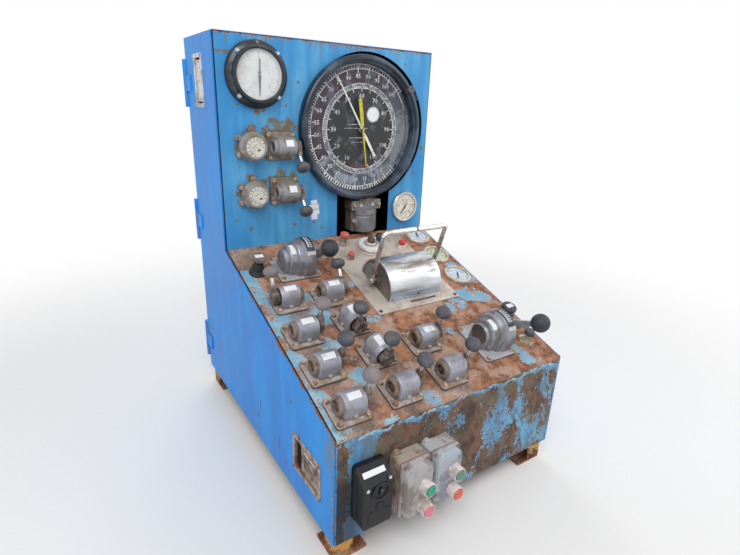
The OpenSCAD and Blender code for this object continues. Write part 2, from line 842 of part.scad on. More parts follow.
module dome_body(w, l) {
    difference() {
        union() {
            round_plate(w, l, valve_plate_t, dome_corner);
            for (s = dome_steps) {
                translate([0, 0, dome_axis_h]) turned([
                    [s[0] - eps, 0], [s[0] - eps, s[2] - 2 * dome_edge], [s[0], s[2] - dome_edge],
                    [s[0] + dome_edge, s[2]], [s[1] - eps, s[2]], [s[1], s[2] - eps], [s[1], 0]
                ]);
                span([s[0] + dome_edge, -s[2], 0], [s[1] - eps, s[2], dome_axis_h]);
            }
            translate([0, 0, dome_axis_h]) shaft_x(0, dome_boss_x, dome_boss_r);
        }
        translate([0, 0, dome_axis_h]) {
            shaft_x(dome_boss_x - dome_bore_l, dome_boss_x + eps, dome_shaft_r + shaft_gap);
            shaft_x(dome_steps[0][0] - 2 * eps, dome_steps[0][0] - eps + dome_dish_depth, dome_dish_r);
        }
        span([-dome_r, -dome_r, -dome_r], [dome_r, dome_r, 0]);
    }
}

module dome_controllers() {
    color("#6f6b69") for (c = controllers) at_desk(c[0], c[1]) dome_body(c[2], c[3]);
}

// Lever of a dome controller: a collar, a flat arm with a round eye, and a ball
dome_collar_r = 15;
dome_collar_gap = 3;
dome_arm_t = 8;
dome_arm_w = 28;
dome_arm_top_w = 16;
dome_arm_short = 30;

module dome_lever(i) {
    c = controllers[i];
    reach = c[4];
    length = c[5];
    arm_l = length - dome_arm_short;
    middle = reach + dome_arm_t / 2;
    color("#4b4b4e") at_desk(c[0], c[1]) translate([0, 0, dome_axis_h]) rotate([c[6], 0, 0]) {
        shaft_x(dome_boss_x - dome_bore_l + 2, reach + dome_arm_t, dome_shaft_r);
        shaft_x(dome_boss_x + dome_collar_gap, reach + dome_arm_t, dome_collar_r);
        prism(reach, reach + dome_arm_t, [
            [-dome_arm_w / 2, 0], [dome_arm_w / 2, 0], [dome_arm_w / 2, arm_l / 3],
            [dome_arm_top_w / 2, arm_l], [-dome_arm_top_w / 2, arm_l], [-dome_arm_w / 2, arm_l / 3]
        ]);
        translate([middle, 0, arm_l - rod_d]) cylinder(h = ball_d / 2 + rod_d, d = rod_d);
        translate([middle, 0, length]) sphere(d = ball_d);
    }
}

// Beige plate, bright hood and twin levers
plate_corner = 5;

module control_plate() {
    color("#c9c0ae") at_desk(plate_x, plate_s) round_plate(plate_w, plate_l, plate_t, plate_corner);
}

module at_hood() {
    at_desk(hood_x, hood_s, plate_t) children();
}

// Hood: a half-round shell with a flat front band and closed ends, a bearing
// in each end and a round cover on the left end
hood_front = 80;
bearing_r = 18;
bearing_in = 16;
bearing_out = 6;
cover_r = 30;
cover_at = [28, 32];

module lever_hood() {
    color("#b9bcbf") at_hood() difference() {
        union() {
            difference() {
                hood_block(0);
                hood_block(hood_wall);
            }
            for (side = [0, 1]) mirror([side, 0, 0]) translate([0, 0, twin_axis_h])
                shaft_x(hood_w / 2 - bearing_in, hood_w / 2 + bearing_out, bearing_r);
            translate([0, cover_at.x, cover_at.y])
                shaft_x(-hood_w / 2 - bearing_out, -hood_w / 2 + eps, cover_r);
        }
        for (side = [0, 1]) mirror([side, 0, 0]) translate([0, 0, twin_axis_h])
            shaft_x(hood_w / 2 - bearing_in - eps, hood_w / 2 + bearing_out + eps, bar_d / 2 + shaft_gap);
    }
}

// The hood's outer form, or that form with d taken off its ends, its round and its front
module hood_block(d) {
    intersection() {
        shaft_x(-hood_w / 2 + d, hood_w / 2 - d, hood_r - d);
        span([-hood_w, d - hood_front, 0], [hood_w, hood_r, hood_r]);
    }
}

// Twin lever: a shaft in the hood's bearing, an arm, a bend and a thicker hand bar
twin_reach = hood_w / 2 + bearing_out + arm_gap + bar_d / 2;
grip_d = bar_d + 2;
pivot_ball_d = bar_d + 6;

module twin_lever(side) {
    color("#c4c2bd") at_hood() mirror([side < 0 ? 1 : 0, 0, 0]) translate([0, 0, twin_axis_h]) {
        shaft_x(hood_w / 2 - bearing_in + 2, twin_reach, bar_d / 2);
        translate([twin_reach, 0, 0]) sphere(d = pivot_ball_d);
        translate([twin_reach, 0, 0]) cylinder(h = twin_len - elbow_r, d = bar_d);
        translate([twin_reach - elbow_r, 0, twin_len - elbow_r]) rotate([90, 0, 0])
            rotate_extrude(angle = 90) translate([elbow_r, 0]) circle(d = bar_d);
        translate([0, 0, twin_len]) {
            shaft_x(bar_gap, twin_reach - elbow_r, bar_d / 2);
            turned([
                [bar_gap / 2, 0], [bar_gap / 2, grip_d / 2 - eps], [bar_gap / 2 + eps, grip_d / 2],
                [twin_reach - elbow_r - bar_gap, grip_d / 2], [twin_reach - elbow_r - bar_gap, 0]
            ]);
        }
    }
}

// Rotary control: a flange waisted round its side, a hub with a blind bore, and a
// short lever with a cap, a tilted rod and a ball
rotary_r = 44;
rotary_h = 20;
rotary_waist = 2;
rotary_hub_r = 19;
rotary_hub_h = 10;
rotary_floor = 8;
rotary_stem_r = 6;
rotary_cap_r = 13;
rotary_cap_h = 12;
rotary_rod_r = 5;
rotary_rod_l = 30;
rotary_rod_tilt = 74;
rotary_rod_turn = -8;
rotary_ball_d = 30;

module rotary_base() {
    color("#99948a") at_desk(rotary_x, rotary_s, plate_t) difference() {
        union() {
            rotate_extrude() polygon([
                [0, 0], [rotary_r, 0], [rotary_r, rotary_h / 5], [rotary_r - rotary_waist, rotary_h / 3],
                [rotary_r - rotary_waist, rotary_h / 2], [rotary_r, 0.65 * rotary_h],
                [rotary_r, 0.8 * rotary_h], [rotary_r - 2 * rotary_waist, rotary_h], [0, rotary_h]
            ]);
            cylinder(h = rotary_h + rotary_hub_h, r = rotary_hub_r);
        }
        translate([0, 0, rotary_floor]) cylinder(h = rotary_h + rotary_hub_h, r = rotary_stem_r + shaft_gap);
    }
}

module rotary_lever() {
    cap_z = rotary_h + rotary_hub_h + eps;
    color("#3c3c40") at_desk(rotary_x, rotary_s, plate_t) {
        translate([0, 0, rotary_floor + 2]) cylinder(h = cap_z - rotary_floor - 1, r = rotary_stem_r);
        translate([0, 0, cap_z]) cylinder(h = rotary_cap_h, r = rotary_cap_r);
        translate([0, 0, cap_z + rotary_cap_h / 2]) rotate([0, rotary_rod_tilt, rotary_rod_turn]) {
            cylinder(h = rotary_rod_l, r = rotary_rod_r);
            translate([0, 0, rotary_rod_l]) sphere(d = rotary_ball_d);
        }
    }
}

// Push-pull knobs: a boot or flange on the desk, and a knob whose stem runs
// through it and the desk
knob_stem_r = 5;
knob_stem_down = 26;
boot_foot = 4;
boot_step = 3;
boot_top_r = knob_stem_r + 8;
knob_edge = 4;

module knob_bases() {
    color("#2b2a2a") for (k = pull_knobs) at_desk(k[0], k[1]) difference() {
        foot = min(boot_foot, k[3] / 3);
        rotate_extrude() polygon([
            [0, 0], [k[2], 0], [k[2], foot], [k[2] - boot_step, 2 * foot], [boot_top_r, k[3]], [0, k[3]]
        ]);
        translate([0, 0, -eps]) cylinder(h = k[3] + 2 * eps, r = knob_stem_r + shaft_gap);
    }
}

module pull_knob(i) {
    k = pull_knobs[i];
    color("#3a3838") at_desk(k[0], k[1]) {
        translate([0, 0, -knob_stem_down]) cylinder(h = knob_stem_down + k[3] + k[6] + eps, r = knob_stem_r);
        translate([0, 0, k[3] + k[6]]) rotate_extrude() polygon([
            [0, 0], [k[4] - knob_edge, 0], [k[4], knob_edge], [k[4], k[5] - knob_edge],
            [k[4] - knob_edge / 4, k[5] - knob_edge / 3], [k[4] - knob_edge, k[5]], [0, k[5]]
        ]);
    }
}

// Sprung buttons: a collar with a step, and a cap with a soft edge on a stem
cap_h = 9;
cap_edge = 3;
collar_step = 1.5;
button_bore = 8;

module button_bases() {
    color("#8f8b80") for (b = buttons) at_desk(b[0], b[1], plate_t) difference() {
        rotate_extrude() polygon([
            [0, 0], [b[2], 0], [b[2], b[3] / 3], [b[2] - collar_step, b[3] / 3 + collar_step],
            [b[2] - collar_step, b[3] - collar_step], [b[2] - 2 * collar_step, b[3]], [0, b[3]]
        ]);
        translate([0, 0, b[3] - button_bore]) cylinder(h = button_bore + eps, r = cap_stem_r + shaft_gap);
    }
}

module button_cap(r) {
    rotate_extrude() polygon([
        [0, 0], [r - 1, 0], [r, 1], [r, cap_h - cap_edge], [r - cap_edge / 3, cap_h - cap_edge / 3],
        [r - cap_edge, cap_h], [0, cap_h]
    ]);
}

module desk_button(i) {
    b = buttons[i];
    color("#d9534a") at_desk(b[0], b[1], plate_t + b[3]) {
        translate([0, 0, button_gap - button_bore]) cylinder(h = button_bore + eps, r = cap_stem_r);
        translate([0, 0, button_gap]) button_cap(b[4]);
    }
}

// Black station: a moulded box whose face slopes back at the top, with a raised
// ring round the well that the selector turns in, and a small blank boss below it
black_corner = 9;
black_slope = [34, 30];
selector_at = [6, 20];
selector_ring_r = 24;
selector_ring_h = 4;
selector_well_r = 18;
selector_well_d = 6;
selector_stem_r = 7;
selector_stem_l = 14;
selector_disc_r = 12;
selector_disc_t = 4;
selector_play = 0.5;
selector_handle = [8, 22, 9];
blank_boss_r = 11;
blank_boss_h = 2;
blank_boss_drop = 42;

module black_station() {
    s = black_station;
    w = s[2];
    h = s[3];
    d = s[4];
    color("#1f2023") at_front(s[0], s[1]) difference() {
        union() {
            intersection() {
                round_plate(w, h, d, black_corner);
                rotate([0, -90, 0]) translate([0, 0, -w / 2]) linear_extrude(w) polygon([
                    [0, -h / 2], [d, -h / 2], [d, h / 2 - black_slope.y],
                    [d - black_slope.x, h / 2], [0, h / 2]
                ]);
            }
            translate([selector_at.x, selector_at.y, d - eps])
                cylinder(h = selector_ring_h + eps, r = selector_ring_r);
            translate([selector_at.x, selector_at.y - blank_boss_drop, d - eps])
                cylinder(h = blank_boss_h + eps, r = blank_boss_r);
        }
        translate([selector_at.x, selector_at.y, d - selector_well_d])
            cylinder(h = selector_well_d + selector_ring_h + eps, r = selector_well_r);
        translate([selector_at.x, selector_at.y, d - selector_well_d - selector_stem_l])
            cylinder(h = selector_stem_l + eps, r = selector_stem_r + shaft_gap);
    }
}

module station_selector() {
    s = black_station;
    floor_z = s[4] - selector_well_d;
    color("#2a2b2e") at_front(s[0] + selector_at.x, s[1] + selector_at.y) {
        translate([0, 0, floor_z - selector_stem_l + 1]) cylinder(h = selector_stem_l, r = selector_stem_r);
        translate([0, 0, floor_z + selector_play]) cylinder(h = selector_disc_t, r = selector_disc_r);
        translate([-selector_handle.x / 2, -selector_handle.y / 2, floor_z + selector_disc_t / 2])
            cube(selector_handle);
    }
}

// Grey station: a cast box, a cover flange with a raised body whose corners are
// cut off for its screws, two guard tubes, a lug on top and a gland below
cover_d = 26;
cover_flange_t = 8;
cover_corner = 5;
cover_cut = 15;
cover_inset = 3;
station_button_x = 12;
guard_r = 18;
guard_len = 24;
guard_edge = 2;
guard_floor = 2;
cap_seat = 8;
station_cap_r = 13;
station_cap_h = 8;
lug_r = 11;
lug_h = 12;
gland_r = 10;
gland_l = 14;

module grey_station(s) {
    w = s[2];
    h = s[3];
    d = s[4];
    color("#aeb0ad") at_front(s[0], s[1]) difference() {
        union() {
            round_plate(w, h, d - cover_d + cover_flange_t, cover_corner);
            linear_extrude(d - cover_inset) cover_outline(w - cover_inset, h - cover_inset);
            linear_extrude(d) cover_outline(w - 3 * cover_inset, h - 3 * cover_inset);
            for (dz = s[5]) translate([station_button_x, dz, d - eps]) rotate_extrude() polygon([
                [0, 0], [guard_r, 0], [guard_r, guard_len - guard_edge],
                [guard_r - guard_edge / 2, guard_len + eps], [0, guard_len + eps]
            ]);
            translate([-w / 2 + lug_r + 3, h / 2 - 2, 0]) cylinder(h = lug_h, r = lug_r);
            translate([-gland_r, -h / 2 - gland_l + 2, d / 2 - gland_r]) rotate([-90, 0, 0])
                cylinder(h = gland_l, r = gland_r);
        }
        for (dz = s[5]) translate([station_button_x, dz, d]) {
            translate([0, 0, guard_len - cap_seat]) cylinder(h = cap_seat + 2 * eps, r = station_cap_r + 1);
            translate([0, 0, guard_floor]) cylinder(h = guard_len, r = cap_stem_r + shaft_gap);
        }
    }
}

module cover_outline(w, h) {
    c = cover_cut;
    polygon([
        [-w / 2 + c, -h / 2], [w / 2 - c, -h / 2], [w / 2, -h / 2 + c], [w / 2, h / 2 - c],
        [w / 2 - c, h / 2], [-w / 2 + c, h / 2], [-w / 2, h / 2 - c], [-w / 2, -h / 2 + c]
    ]);
}

module grey_stations() {
    for (s = grey_stations) grey_station(s);
}

module station_button(i, row, paint) {
    s = grey_stations[i];
    color(paint) at_front(s[0] + station_button_x, s[1] + s[5][row], s[4] + button_gap) {
        translate([0, 0, guard_floor]) cylinder(h = guard_len - cap_seat, r = cap_stem_r);
        translate([0, 0, guard_len - cap_seat]) cylinder(h = station_cap_h, r = station_cap_r);
    }
}

module left_start_button() { station_button(0, 0, "#2aa876"); }
module left_stop_button() { station_button(0, 1, "#e8868f"); }
module right_start_button() { station_button(1, 0, "#4f9a84"); }
module right_stop_button() { station_button(1, 1, "#e2714f"); }

base_frame();
stub_feet();
right_side();
back_panel();
roof();
instrument_panel();
desk_plate();
front_wall();
door_frame();
hinge_pins();
weight_indicator();
indicator_pointers();
damper();
pressure_gauge();
small_gauges();
regulators();
panel_valve_bodies();
desk_valve_bodies();
dome_controllers();
control_plate();
lever_hood();
rotary_base();
knob_bases();
button_bases();
black_station();
grey_stations();
side_door();
latch_dishes();
upper_paddle();
lower_paddle();
for (i = [0:len(desk_valves) - 1])
    desk_lever(i);
for (i = [0:1]) {
    panel_lever(i);
    dome_lever(i);
}
twin_lever(-1);  // twin_lever_left
twin_lever(1);  // twin_lever_right
rotary_lever();
for (i = [0:2]) {
    pull_knob(i);
    desk_button(i);
}
left_start_button();
left_stop_button();
right_start_button();
right_stop_button();
station_selector();
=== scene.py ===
"""A drilling rig driller's control console: paint, rust, castings, dials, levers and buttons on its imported
solids."""
import math

import bmesh
import bpy
import numpy as np
from mathutils import Matrix, Vector


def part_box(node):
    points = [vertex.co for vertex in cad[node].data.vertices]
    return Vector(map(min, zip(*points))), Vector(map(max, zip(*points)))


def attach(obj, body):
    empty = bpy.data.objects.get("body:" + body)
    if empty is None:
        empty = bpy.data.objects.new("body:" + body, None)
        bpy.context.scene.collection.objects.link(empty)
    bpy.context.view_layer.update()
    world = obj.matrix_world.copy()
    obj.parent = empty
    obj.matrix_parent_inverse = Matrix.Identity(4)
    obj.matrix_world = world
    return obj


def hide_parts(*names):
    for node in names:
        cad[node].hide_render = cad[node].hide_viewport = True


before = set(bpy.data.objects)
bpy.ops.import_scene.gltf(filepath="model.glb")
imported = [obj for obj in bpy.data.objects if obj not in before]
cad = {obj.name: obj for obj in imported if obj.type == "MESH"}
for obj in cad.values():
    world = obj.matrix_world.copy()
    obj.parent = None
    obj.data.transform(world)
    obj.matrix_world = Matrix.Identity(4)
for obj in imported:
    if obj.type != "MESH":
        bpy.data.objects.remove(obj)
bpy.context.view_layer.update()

# Cabinet sheets: 3 mm mild steel, welded along the edges and brushed with blue
# gloss enamel over a paler coat. The paint has faded in streaks and lets go in
# flakes along the edges, where rust comes through. Lengths here are millimetres.
MM = 0.001
RIGHT_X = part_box("right_side")[1].x / MM
LEFT_X = -RIGHT_X
PANEL_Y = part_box("instrument_panel")[0].y / MM
FRONT_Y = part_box("front_wall")[0].y / MM
TOP_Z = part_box("roof")[1].z / MM
BASE_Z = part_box("front_wall")[0].z / MM
SEAM_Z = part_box("desk_plate")[1].z / MM
DESK_RISE = 236
LIP_Z = SEAM_Z - DESK_RISE
SLOPE = math.atan2(DESK_RISE, PANEL_Y - FRONT_Y)


def colour(red, green, blue):
    """A display colour of 0 to 255 as the linear colour that a shader takes."""
    c = np.array([red, green, blue]) / 255
    linear = np.where(c <= 0.04045, c / 12.92, ((c + 0.055) / 1.055) ** 2.4)
    return (*linear, 1.0)


def node(tree, kind, inputs=None, **settings):
    """One shader node, its settings, and its inputs as values or as the sockets that feed them."""
    made = tree.nodes.new(kind)
    for key, value in settings.items():
        setattr(made, key, value)
    for key, value in (inputs or {}).items():
        if isinstance(value, bpy.types.NodeSocket):
            tree.links.new(value, made.inputs[key])
        else:
            made.inputs[key].default_value = value
    return made


def math_node(tree, operation, a, b=0.0):
    """One sum, product or other operation on two numbers or sockets."""
    return node(tree, "ShaderNodeMath", {0: a, 1: b}, operation=operation).outputs[0]


def total(tree, *values):
    """The sum of all the values."""
    found = values[0]
    for value in values[1:]:
        found = math_node(tree, "ADD", found, value)
    return found


def times(tree, a, b):
    """The product of two values."""
    return math_node(tree, "MULTIPLY", a, b)


def less(tree, a, b):
    """The first value less the second."""
    return math_node(tree, "SUBTRACT", a, b)


def highest(tree, *values):
    """The highest of all the values."""
    found = values[0]
    for value in values[1:]:
        found = math_node(tree, "MAXIMUM", found, value)
    return found


def mixed(tree, factor, a, b):
    """Colour a where factor is 0 and colour b where it is 1."""
    return node(tree, "ShaderNodeMix", {0: factor, 6: a, 7: b}, data_type="RGBA").outputs[2]


def scaled(tree, vector, factors):
    """A vector with each part multiplied by its own factor."""
    return node(tree, "ShaderNodeVectorMath", {0: vector, 1: factors}, operation="MULTIPLY").outputs[0]


def noise(tree, vector, scale, detail=4.0, roughness=0.55):
    """Fractal noise between 0 and 1, about 0.5 on average."""
    inputs = {"Vector": vector, "Scale": scale, "Detail": detail, "Roughness": roughness}
    return node(tree, "ShaderNodeTexNoise", inputs).outputs["Fac"]


def ramp(tree, value, low, high, bottom=0.0, top=1.0):
    """A smooth step from bottom to top while value goes from low to high."""
    inputs = {0: value, 1: low, 2: high, 3: bottom, 4: top}
    return node(tree, "ShaderNodeMapRange", inputs, interpolation_type="SMOOTHSTEP").outputs[0]


def node_group(name, inputs, outputs):
    """An empty node group with its named inputs and outputs, as (tree, input sockets, output node)."""
    tree = bpy.data.node_groups.new(name, "ShaderNodeTree")
    kinds = {"v": "NodeSocketVector", "c": "NodeSocketColor", "f": "NodeSocketFloat"}
    for label, kind in inputs.items():
        tree.interface.new_socket(label, in_out="INPUT", socket_type=kinds[kind])
    for label, kind in outputs.items():
        tree.interface.new_socket(label, in_out="OUTPUT", socket_type=kinds[kind])
    entry = tree.nodes.new("NodeGroupInput")
    return tree, entry.outputs, tree.nodes.new("NodeGroupOutput")


def flaking_paint_group():
    """Paint that fades in soft patches and comes off where a rough noise passes 0.70 - 0.40 Bare, so that
    Bare 0.5 is half bare. The noise is broad at Speckle 0 and fine at 1. Each flake has a pale rim, and the
    rust below has three tones and a dark grit."""
    tree, given, out = node_group(
        "Flaking paint",
        {"Vector": "v", "Paint": "c", "Faded": "c", "Rim": "c", "Rust": "c", "Dark rust": "c",
         "Third tone": "c", "Bare": "f", "Chip scale": "f", "Speckle": "f"},
        {"Color": "c", "Roughness": "f", "Metallic": "f", "Height": "f"},
    )
    where = given["Vector"]
    scale = given["Chip scale"]
    patches = noise(tree, where, 4.0, 6, 0.6)
    streaks = noise(tree, scaled(tree, where, (26, 26, 2.2)), 1.0, 6, 0.6)
    fade = ramp(tree, total(tree, times(tree, patches, 0.45), times(tree, streaks, 0.55)), 0.40, 0.62)
    broad = noise(tree, where, scale, 12, 0.68)
    specks = noise(tree, where, times(tree, scale, 5.5), 5, 0.7)
    finer = times(tree, given["Speckle"], less(tree, specks, broad))
    height = total(tree, broad, finer)
    limit = less(tree, 0.70, times(tree, given["Bare"], 0.40))
    past = less(tree, height, limit)
    bare = ramp(tree, past, -0.006, 0.008)
    rim = times(tree, ramp(tree, past, -0.03, -0.006), less(tree, 1.0, bare))
    paint = mixed(tree, fade, given["Paint"], given["Faded"])
    paint = mixed(tree, times(tree, rim, 0.7), paint, given["Rim"])
    paint = mixed(tree, ramp(tree, specks, 0.60, 0.68, 0.0, 0.35), paint, given["Rust"])
    rusting = ramp(tree, noise(tree, where, 30.0, 9, 0.7), 0.40, 0.58)
    rust = mixed(tree, rusting, given["Dark rust"], given["Rust"])
    tone = ramp(tree, noise(tree, where, 14.0, 8, 0.68), 0.50, 0.60, 0.0, 0.8)
    rust = mixed(tree, tone, rust, given["Third tone"])
    grit = ramp(tree, noise(tree, where, 150.0, 6, 0.7), 0.50, 0.64, 0.0, 0.5)
    rust = mixed(tree, grit, rust, given["Dark rust"])
    tree.links.new(mixed(tree, bare, paint, rust), out.inputs["Color"])
    rough = total(tree, times(tree, fade, 0.10), 0.36)
    tree.links.new(highest(tree, rough, times(tree, bare, 0.86)), out.inputs["Roughness"])
    tree.links.new(times(tree, bare, 0.10), out.inputs["Metallic"])
    pits = times(tree, noise(tree, where, 110.0, 6, 0.7), times(tree, bare, 0.7))
    film = less(tree, 1.0, times(tree, bare, 0.8))
    tree.links.new(total(tree, film, pits), out.inputs["Height"])
    return tree


FLAKING_PAINT = flaking_paint_group()


def new_material(name):
    """An empty node material, as (material, tree, Principled node, Object coordinates)."""
    made = bpy.data.materials.new(name)
    made.use_nodes = True
    tree = made.node_tree
    shader = tree.nodes["Principled BSDF"]
    where = node(tree, "ShaderNodeTexCoord").outputs["Object"]
    return made, tree, shader, where


def bumped(tree, shader, height, strength, distance):
    """Feeds a height, in units of distance metres, to the shader's normal."""
    bump = node(tree, "ShaderNodeBump", {"Height": height, "Strength": strength, "Distance": distance})
    tree.links.new(bump.outputs[0], shader.inputs["Normal"])


def placed_group(tree, group, where, values):
    """A node group set into a material's tree, its Vector fed by where and its other inputs by the values."""
    return node(tree, "ShaderNodeGroup", {"Vector": where, **values}, node_tree=group).outputs


def painted_steel(name, paint, rust, bare, flakes=(22.0, 0.3), stretch=(1, 1, 1), stain=None):
    """Flaking paint. paint is (fresh, faded, flake rim), rust is (rust, dark, third) and flakes is (scale,
    speckle). bare gets the tree, the coordinates and their split parts, and returns the mask of bare steel.
    stain, where given, gets the same and returns a (mask, colour) laid over all. stretch draws the flakes
    out along an axis where it is under 1."""
    made, tree, shader, where = new_material(name)
    split = node(tree, "ShaderNodeSeparateXYZ", {0: where}).outputs
    values = dict(zip(("Paint", "Faded", "Rim", "Rust", "Dark rust", "Third tone"), (*paint, *rust)))
    values.update({"Chip scale": flakes[0], "Speckle": flakes[1], "Bare": bare(tree, where, split)})
    flaking = placed_group(tree, FLAKING_PAINT, scaled(tree, where, stretch), values)
    painted = flaking["Color"]
    if stain:
        mask, tint = stain(tree, where, split)
        painted = mixed(tree, mask, painted, tint)
    tree.links.new(painted, shader.inputs["Base Color"])
    tree.links.new(flaking["Roughness"], shader.inputs["Roughness"])
    tree.links.new(flaking["Metallic"], shader.inputs["Metallic"])
    shader.inputs["Specular IOR Level"].default_value = 0.25
    bumped(tree, shader, flaking["Height"], 0.5, 0.001)
    return made


def along_edges(tree, split, edges, width, strength, rest):
    """A mask that is strength at each edge, given as (axis, place in mm), and falls to rest at width mm
    from it."""
    found = rest
    for axis, place in edges:
        away = math_node(tree, "ABSOLUTE", less(tree, split[axis], place * MM))
        found = highest(tree, found, ramp(tree, away, 0.0, width * MM, strength, rest))
    return found


BLUE = (colour(4, 128, 214), colour(40, 156, 230), colour(84, 170, 226))
RUST = (colour(150, 100, 74), colour(88, 62, 52), colour(172, 128, 98))


def side_bare(tree, where, split):
    """Bare along the sheets' edges and in a few specks, and hardly anywhere else."""
    edges = [("Y", FRONT_Y), ("Z", TOP_Z), ("Z", BASE_Z), ("Y", -FRONT_Y)]
    return along_edges(tree, split, edges, 22, 0.46, 0.07)


def clouded_bare(edges, high):
    """A bare function for a sheet that shows its edges to the weather: rust along them, and clouds of it
    between, which are high where a broad noise is highest."""
    def bare(tree, where, split):
        clouds = ramp(tree, noise(tree, where, 2.6, 5, 0.6), 0.44, 0.66, 0.06, high)
        return highest(tree, along_edges(tree, split, edges, 26, 0.48, 0.06), clouds)
    return bare


def dark_inside(tree, where, split):
    """Painted shade with some grime: near-black brown on the cabinet's inner faces, all that lies 2 mm or
    more inside its outer box.
    """
    inside = ramp(tree, split["Z"], (TOP_Z - 2) * MM, (TOP_Z - 1) * MM, 1.0, 0.0)
    for axis, reach in (("X", RIGHT_X), ("Y", -FRONT_Y)):
        out = math_node(tree, "ABSOLUTE", split[axis])
        inside = times(tree, inside, ramp(tree, out, (reach - 2) * MM, (reach - 1) * MM, 1.0, 0.0))
    # Painted shade inside the cabinet, mottled from near-black to dark brown.
    grime = ramp(tree, noise(tree, where, 20.0, 6), 0.35, 0.65)
    return inside, mixed(tree, grime, colour(26, 25, 27), colour(60, 52, 48))


SIDE_PAINT = painted_steel("Blue side enamel", BLUE, RUST, side_bare, (26.0, 0.4), stain=dark_inside)


def finish_cad(node_name, made):
    """Gives a CAD node its material in place of the plain one that came with it."""
    mesh = cad[node_name].data
    mesh.materials.clear()
    mesh.materials.append(made)


SIDES = [("X", LEFT_X), ("X", RIGHT_X)]
BACK_PAINT = painted_steel("Blue back enamel", BLUE, RUST,
                           clouded_bare([*SIDES, ("Z", TOP_Z), ("Z", BASE_Z)], 0.34), (26.0, 0.4),
                           stain=dark_inside)
ROOF_PAINT = painted_steel("Blue roof enamel", BLUE, RUST, clouded_bare([*SIDES, ("Y", -FRONT_Y)], 0.44),
                           (26.0, 0.4), stain=dark_inside)
for sheet, made in (("right_side", SIDE_PAINT), ("door_frame", SIDE_PAINT), ("back_panel", BACK_PAINT),
                    ("roof", ROOF_PAINT)):
    finish_cad(sheet, made)

# Base frame and feet: angle iron welded to a ring, with four stub legs on drilled
# plates. The ring is bare and rusty, and the legs keep some old yellow paint.


def frame_bare(tree, where, split):
    """More bare than painted, in broad patches."""
    return ramp(tree, noise(tree, where, 6.0, 4), 0.35, 0.65, 0.45, 0.85)


def leg_bare(tree, where, split):
    """Most bare at the foot plates, where water stands."""
    return ramp(tree, split["Z"], 0.0, 0.06, 0.7, 0.36)


FRAME_GREY = (colour(96, 112, 118), colour(120, 124, 120), colour(130, 132, 126))
LEG_YELLOW = (colour(212, 158, 52), colour(198, 148, 70), colour(206, 170, 110))
finish_cad("base_frame", painted_steel("Rusty angle iron", FRAME_GREY, RUST, frame_bare, (24.0, 0.4)))
finish_cad("stub_feet", painted_steel("Worn yellow leg paint", LEG_YELLOW, RUST, leg_bare, (34.0, 0.4)))

# Desk plate: 6 mm plate that the weather has rusted almost all over, with pale
# blue paint left along the left edge, in islands between the valves and at the lip.
DESK_BLUE = (colour(104, 160, 194), colour(150, 188, 206), colour(196, 210, 212))
DESK_RUST = (colour(180, 128, 96), colour(120, 86, 70), colour(184, 158, 142))
PAINT_ISLANDS = [(26, 250, 50), (30, 360, 46), (60, 335, 40), (150, 345, 46), (120, 460, 30), (150, 590, 34),
                 (290, 400, 30), (150, 470, 26), (20, 480, 30), (596, 428, 34), (650, 400, 44),
                 (690, 420, 40), (560, 440, 26), (640, 210, 34), (716, 250, 26), (716, 330, 26),
                 (285, 700, 34), (22, 600, 26), (20, 690, 30), (150, 716, 26), (480, 520, 20), (640, 600, 22),
                 (690, 560, 20), (300, 250, 26), (20, 140, 36), (620, 640, 26), (640, 690, 30),
                 (140, 260, 26)]
VALVE_SPOTS = [(86, 277), (208, 288), (70, 408), (213, 407), (221, 531), (66, 533), (66, 656), (214, 655),
               (367, 534), (367, 653)]


def spots(tree, where, places, broken=1.6, scale=24.0):
    """A mask that is 1 in the middle of each (x, y, z, radius) place in mm and 0 outside it, with a ragged
    rim."""
    ragged = times(tree, less(tree, noise(tree, where, scale, 7, 0.65), 0.5), broken * 2)
    found = 0.0
    for x, y, z, radius in places:
        inputs = {0: where, 1: (x * MM, y * MM, z * MM)}
        away = node(tree, "ShaderNodeVectorMath", inputs, operation="DISTANCE").outputs["Value"]
        away = total(tree, math_node(tree, "DIVIDE", away, radius * MM), ragged)
        found = highest(tree, found, ramp(tree, away, 0.5, 1.2, 1.0, 0.0))
    return found


def desk_point(x, s):
    """A point of the desk's top, x from the cabinet's left edge and s down the slope, as world
    millimetres."""
    return x + LEFT_X, PANEL_Y - s * math.cos(SLOPE), SEAM_Z - s * math.sin(SLOPE)


def desk_bare(tree, where, split):
    """Paint stays by the left edge and in islands; the rest is all rust, up to the front lip and over it."""
    rest = ramp(tree, noise(tree, where, 7.0, 5), 0.40, 0.62, 0.96, 0.72)
    left = ramp(tree, split["X"], (LEFT_X + 22) * MM, (LEFT_X + 62) * MM, -0.22, 0.0)
    islands = spots(tree, where, [(*desk_point(x, s), r) for x, s, r in PAINT_ISLANDS])
    sheltered = spots(tree, where, [(*desk_point(x, s), 76) for x, s in VALVE_SPOTS], 0.7)
    kept = total(tree, times(tree, islands, -0.44), times(tree, sheltered, -0.13))
    return highest(tree, total(tree, rest, left, kept), 0.34)


def desk_stain(tree, where, split):
    """Pale grey smears, dark patches just down the slope from each valve that are painted shadow with grime,
    and olive dirt at the back left by the first controller."""
    smears = ramp(tree, noise(tree, where, 15.0, 9, 0.72), 0.52, 0.64, 0.0, 0.55)
    # Painted shadow with grime: dark brown spots a little down the slope and right of each valve.
    below = [(*desk_point(x + 6, s + 22), 56) for x, s in VALVE_SPOTS]
    grime = times(tree, spots(tree, where, below, 1.2, 30.0), 0.72)
    places = [(*desk_point(x, s), r)
              for x, s, r in ((44, 60, 50), (90, 50, 40), (260, 40, 40), (70, 200, 24))]
    olive = times(tree, spots(tree, where, places, 1.4, 20.0), 0.6)
    tint = mixed(tree, grime, colour(160, 154, 154), colour(86, 66, 58))
    found = highest(tree, smears, grime, olive)
    return found, mixed(tree, olive, tint, colour(118, 96, 62))


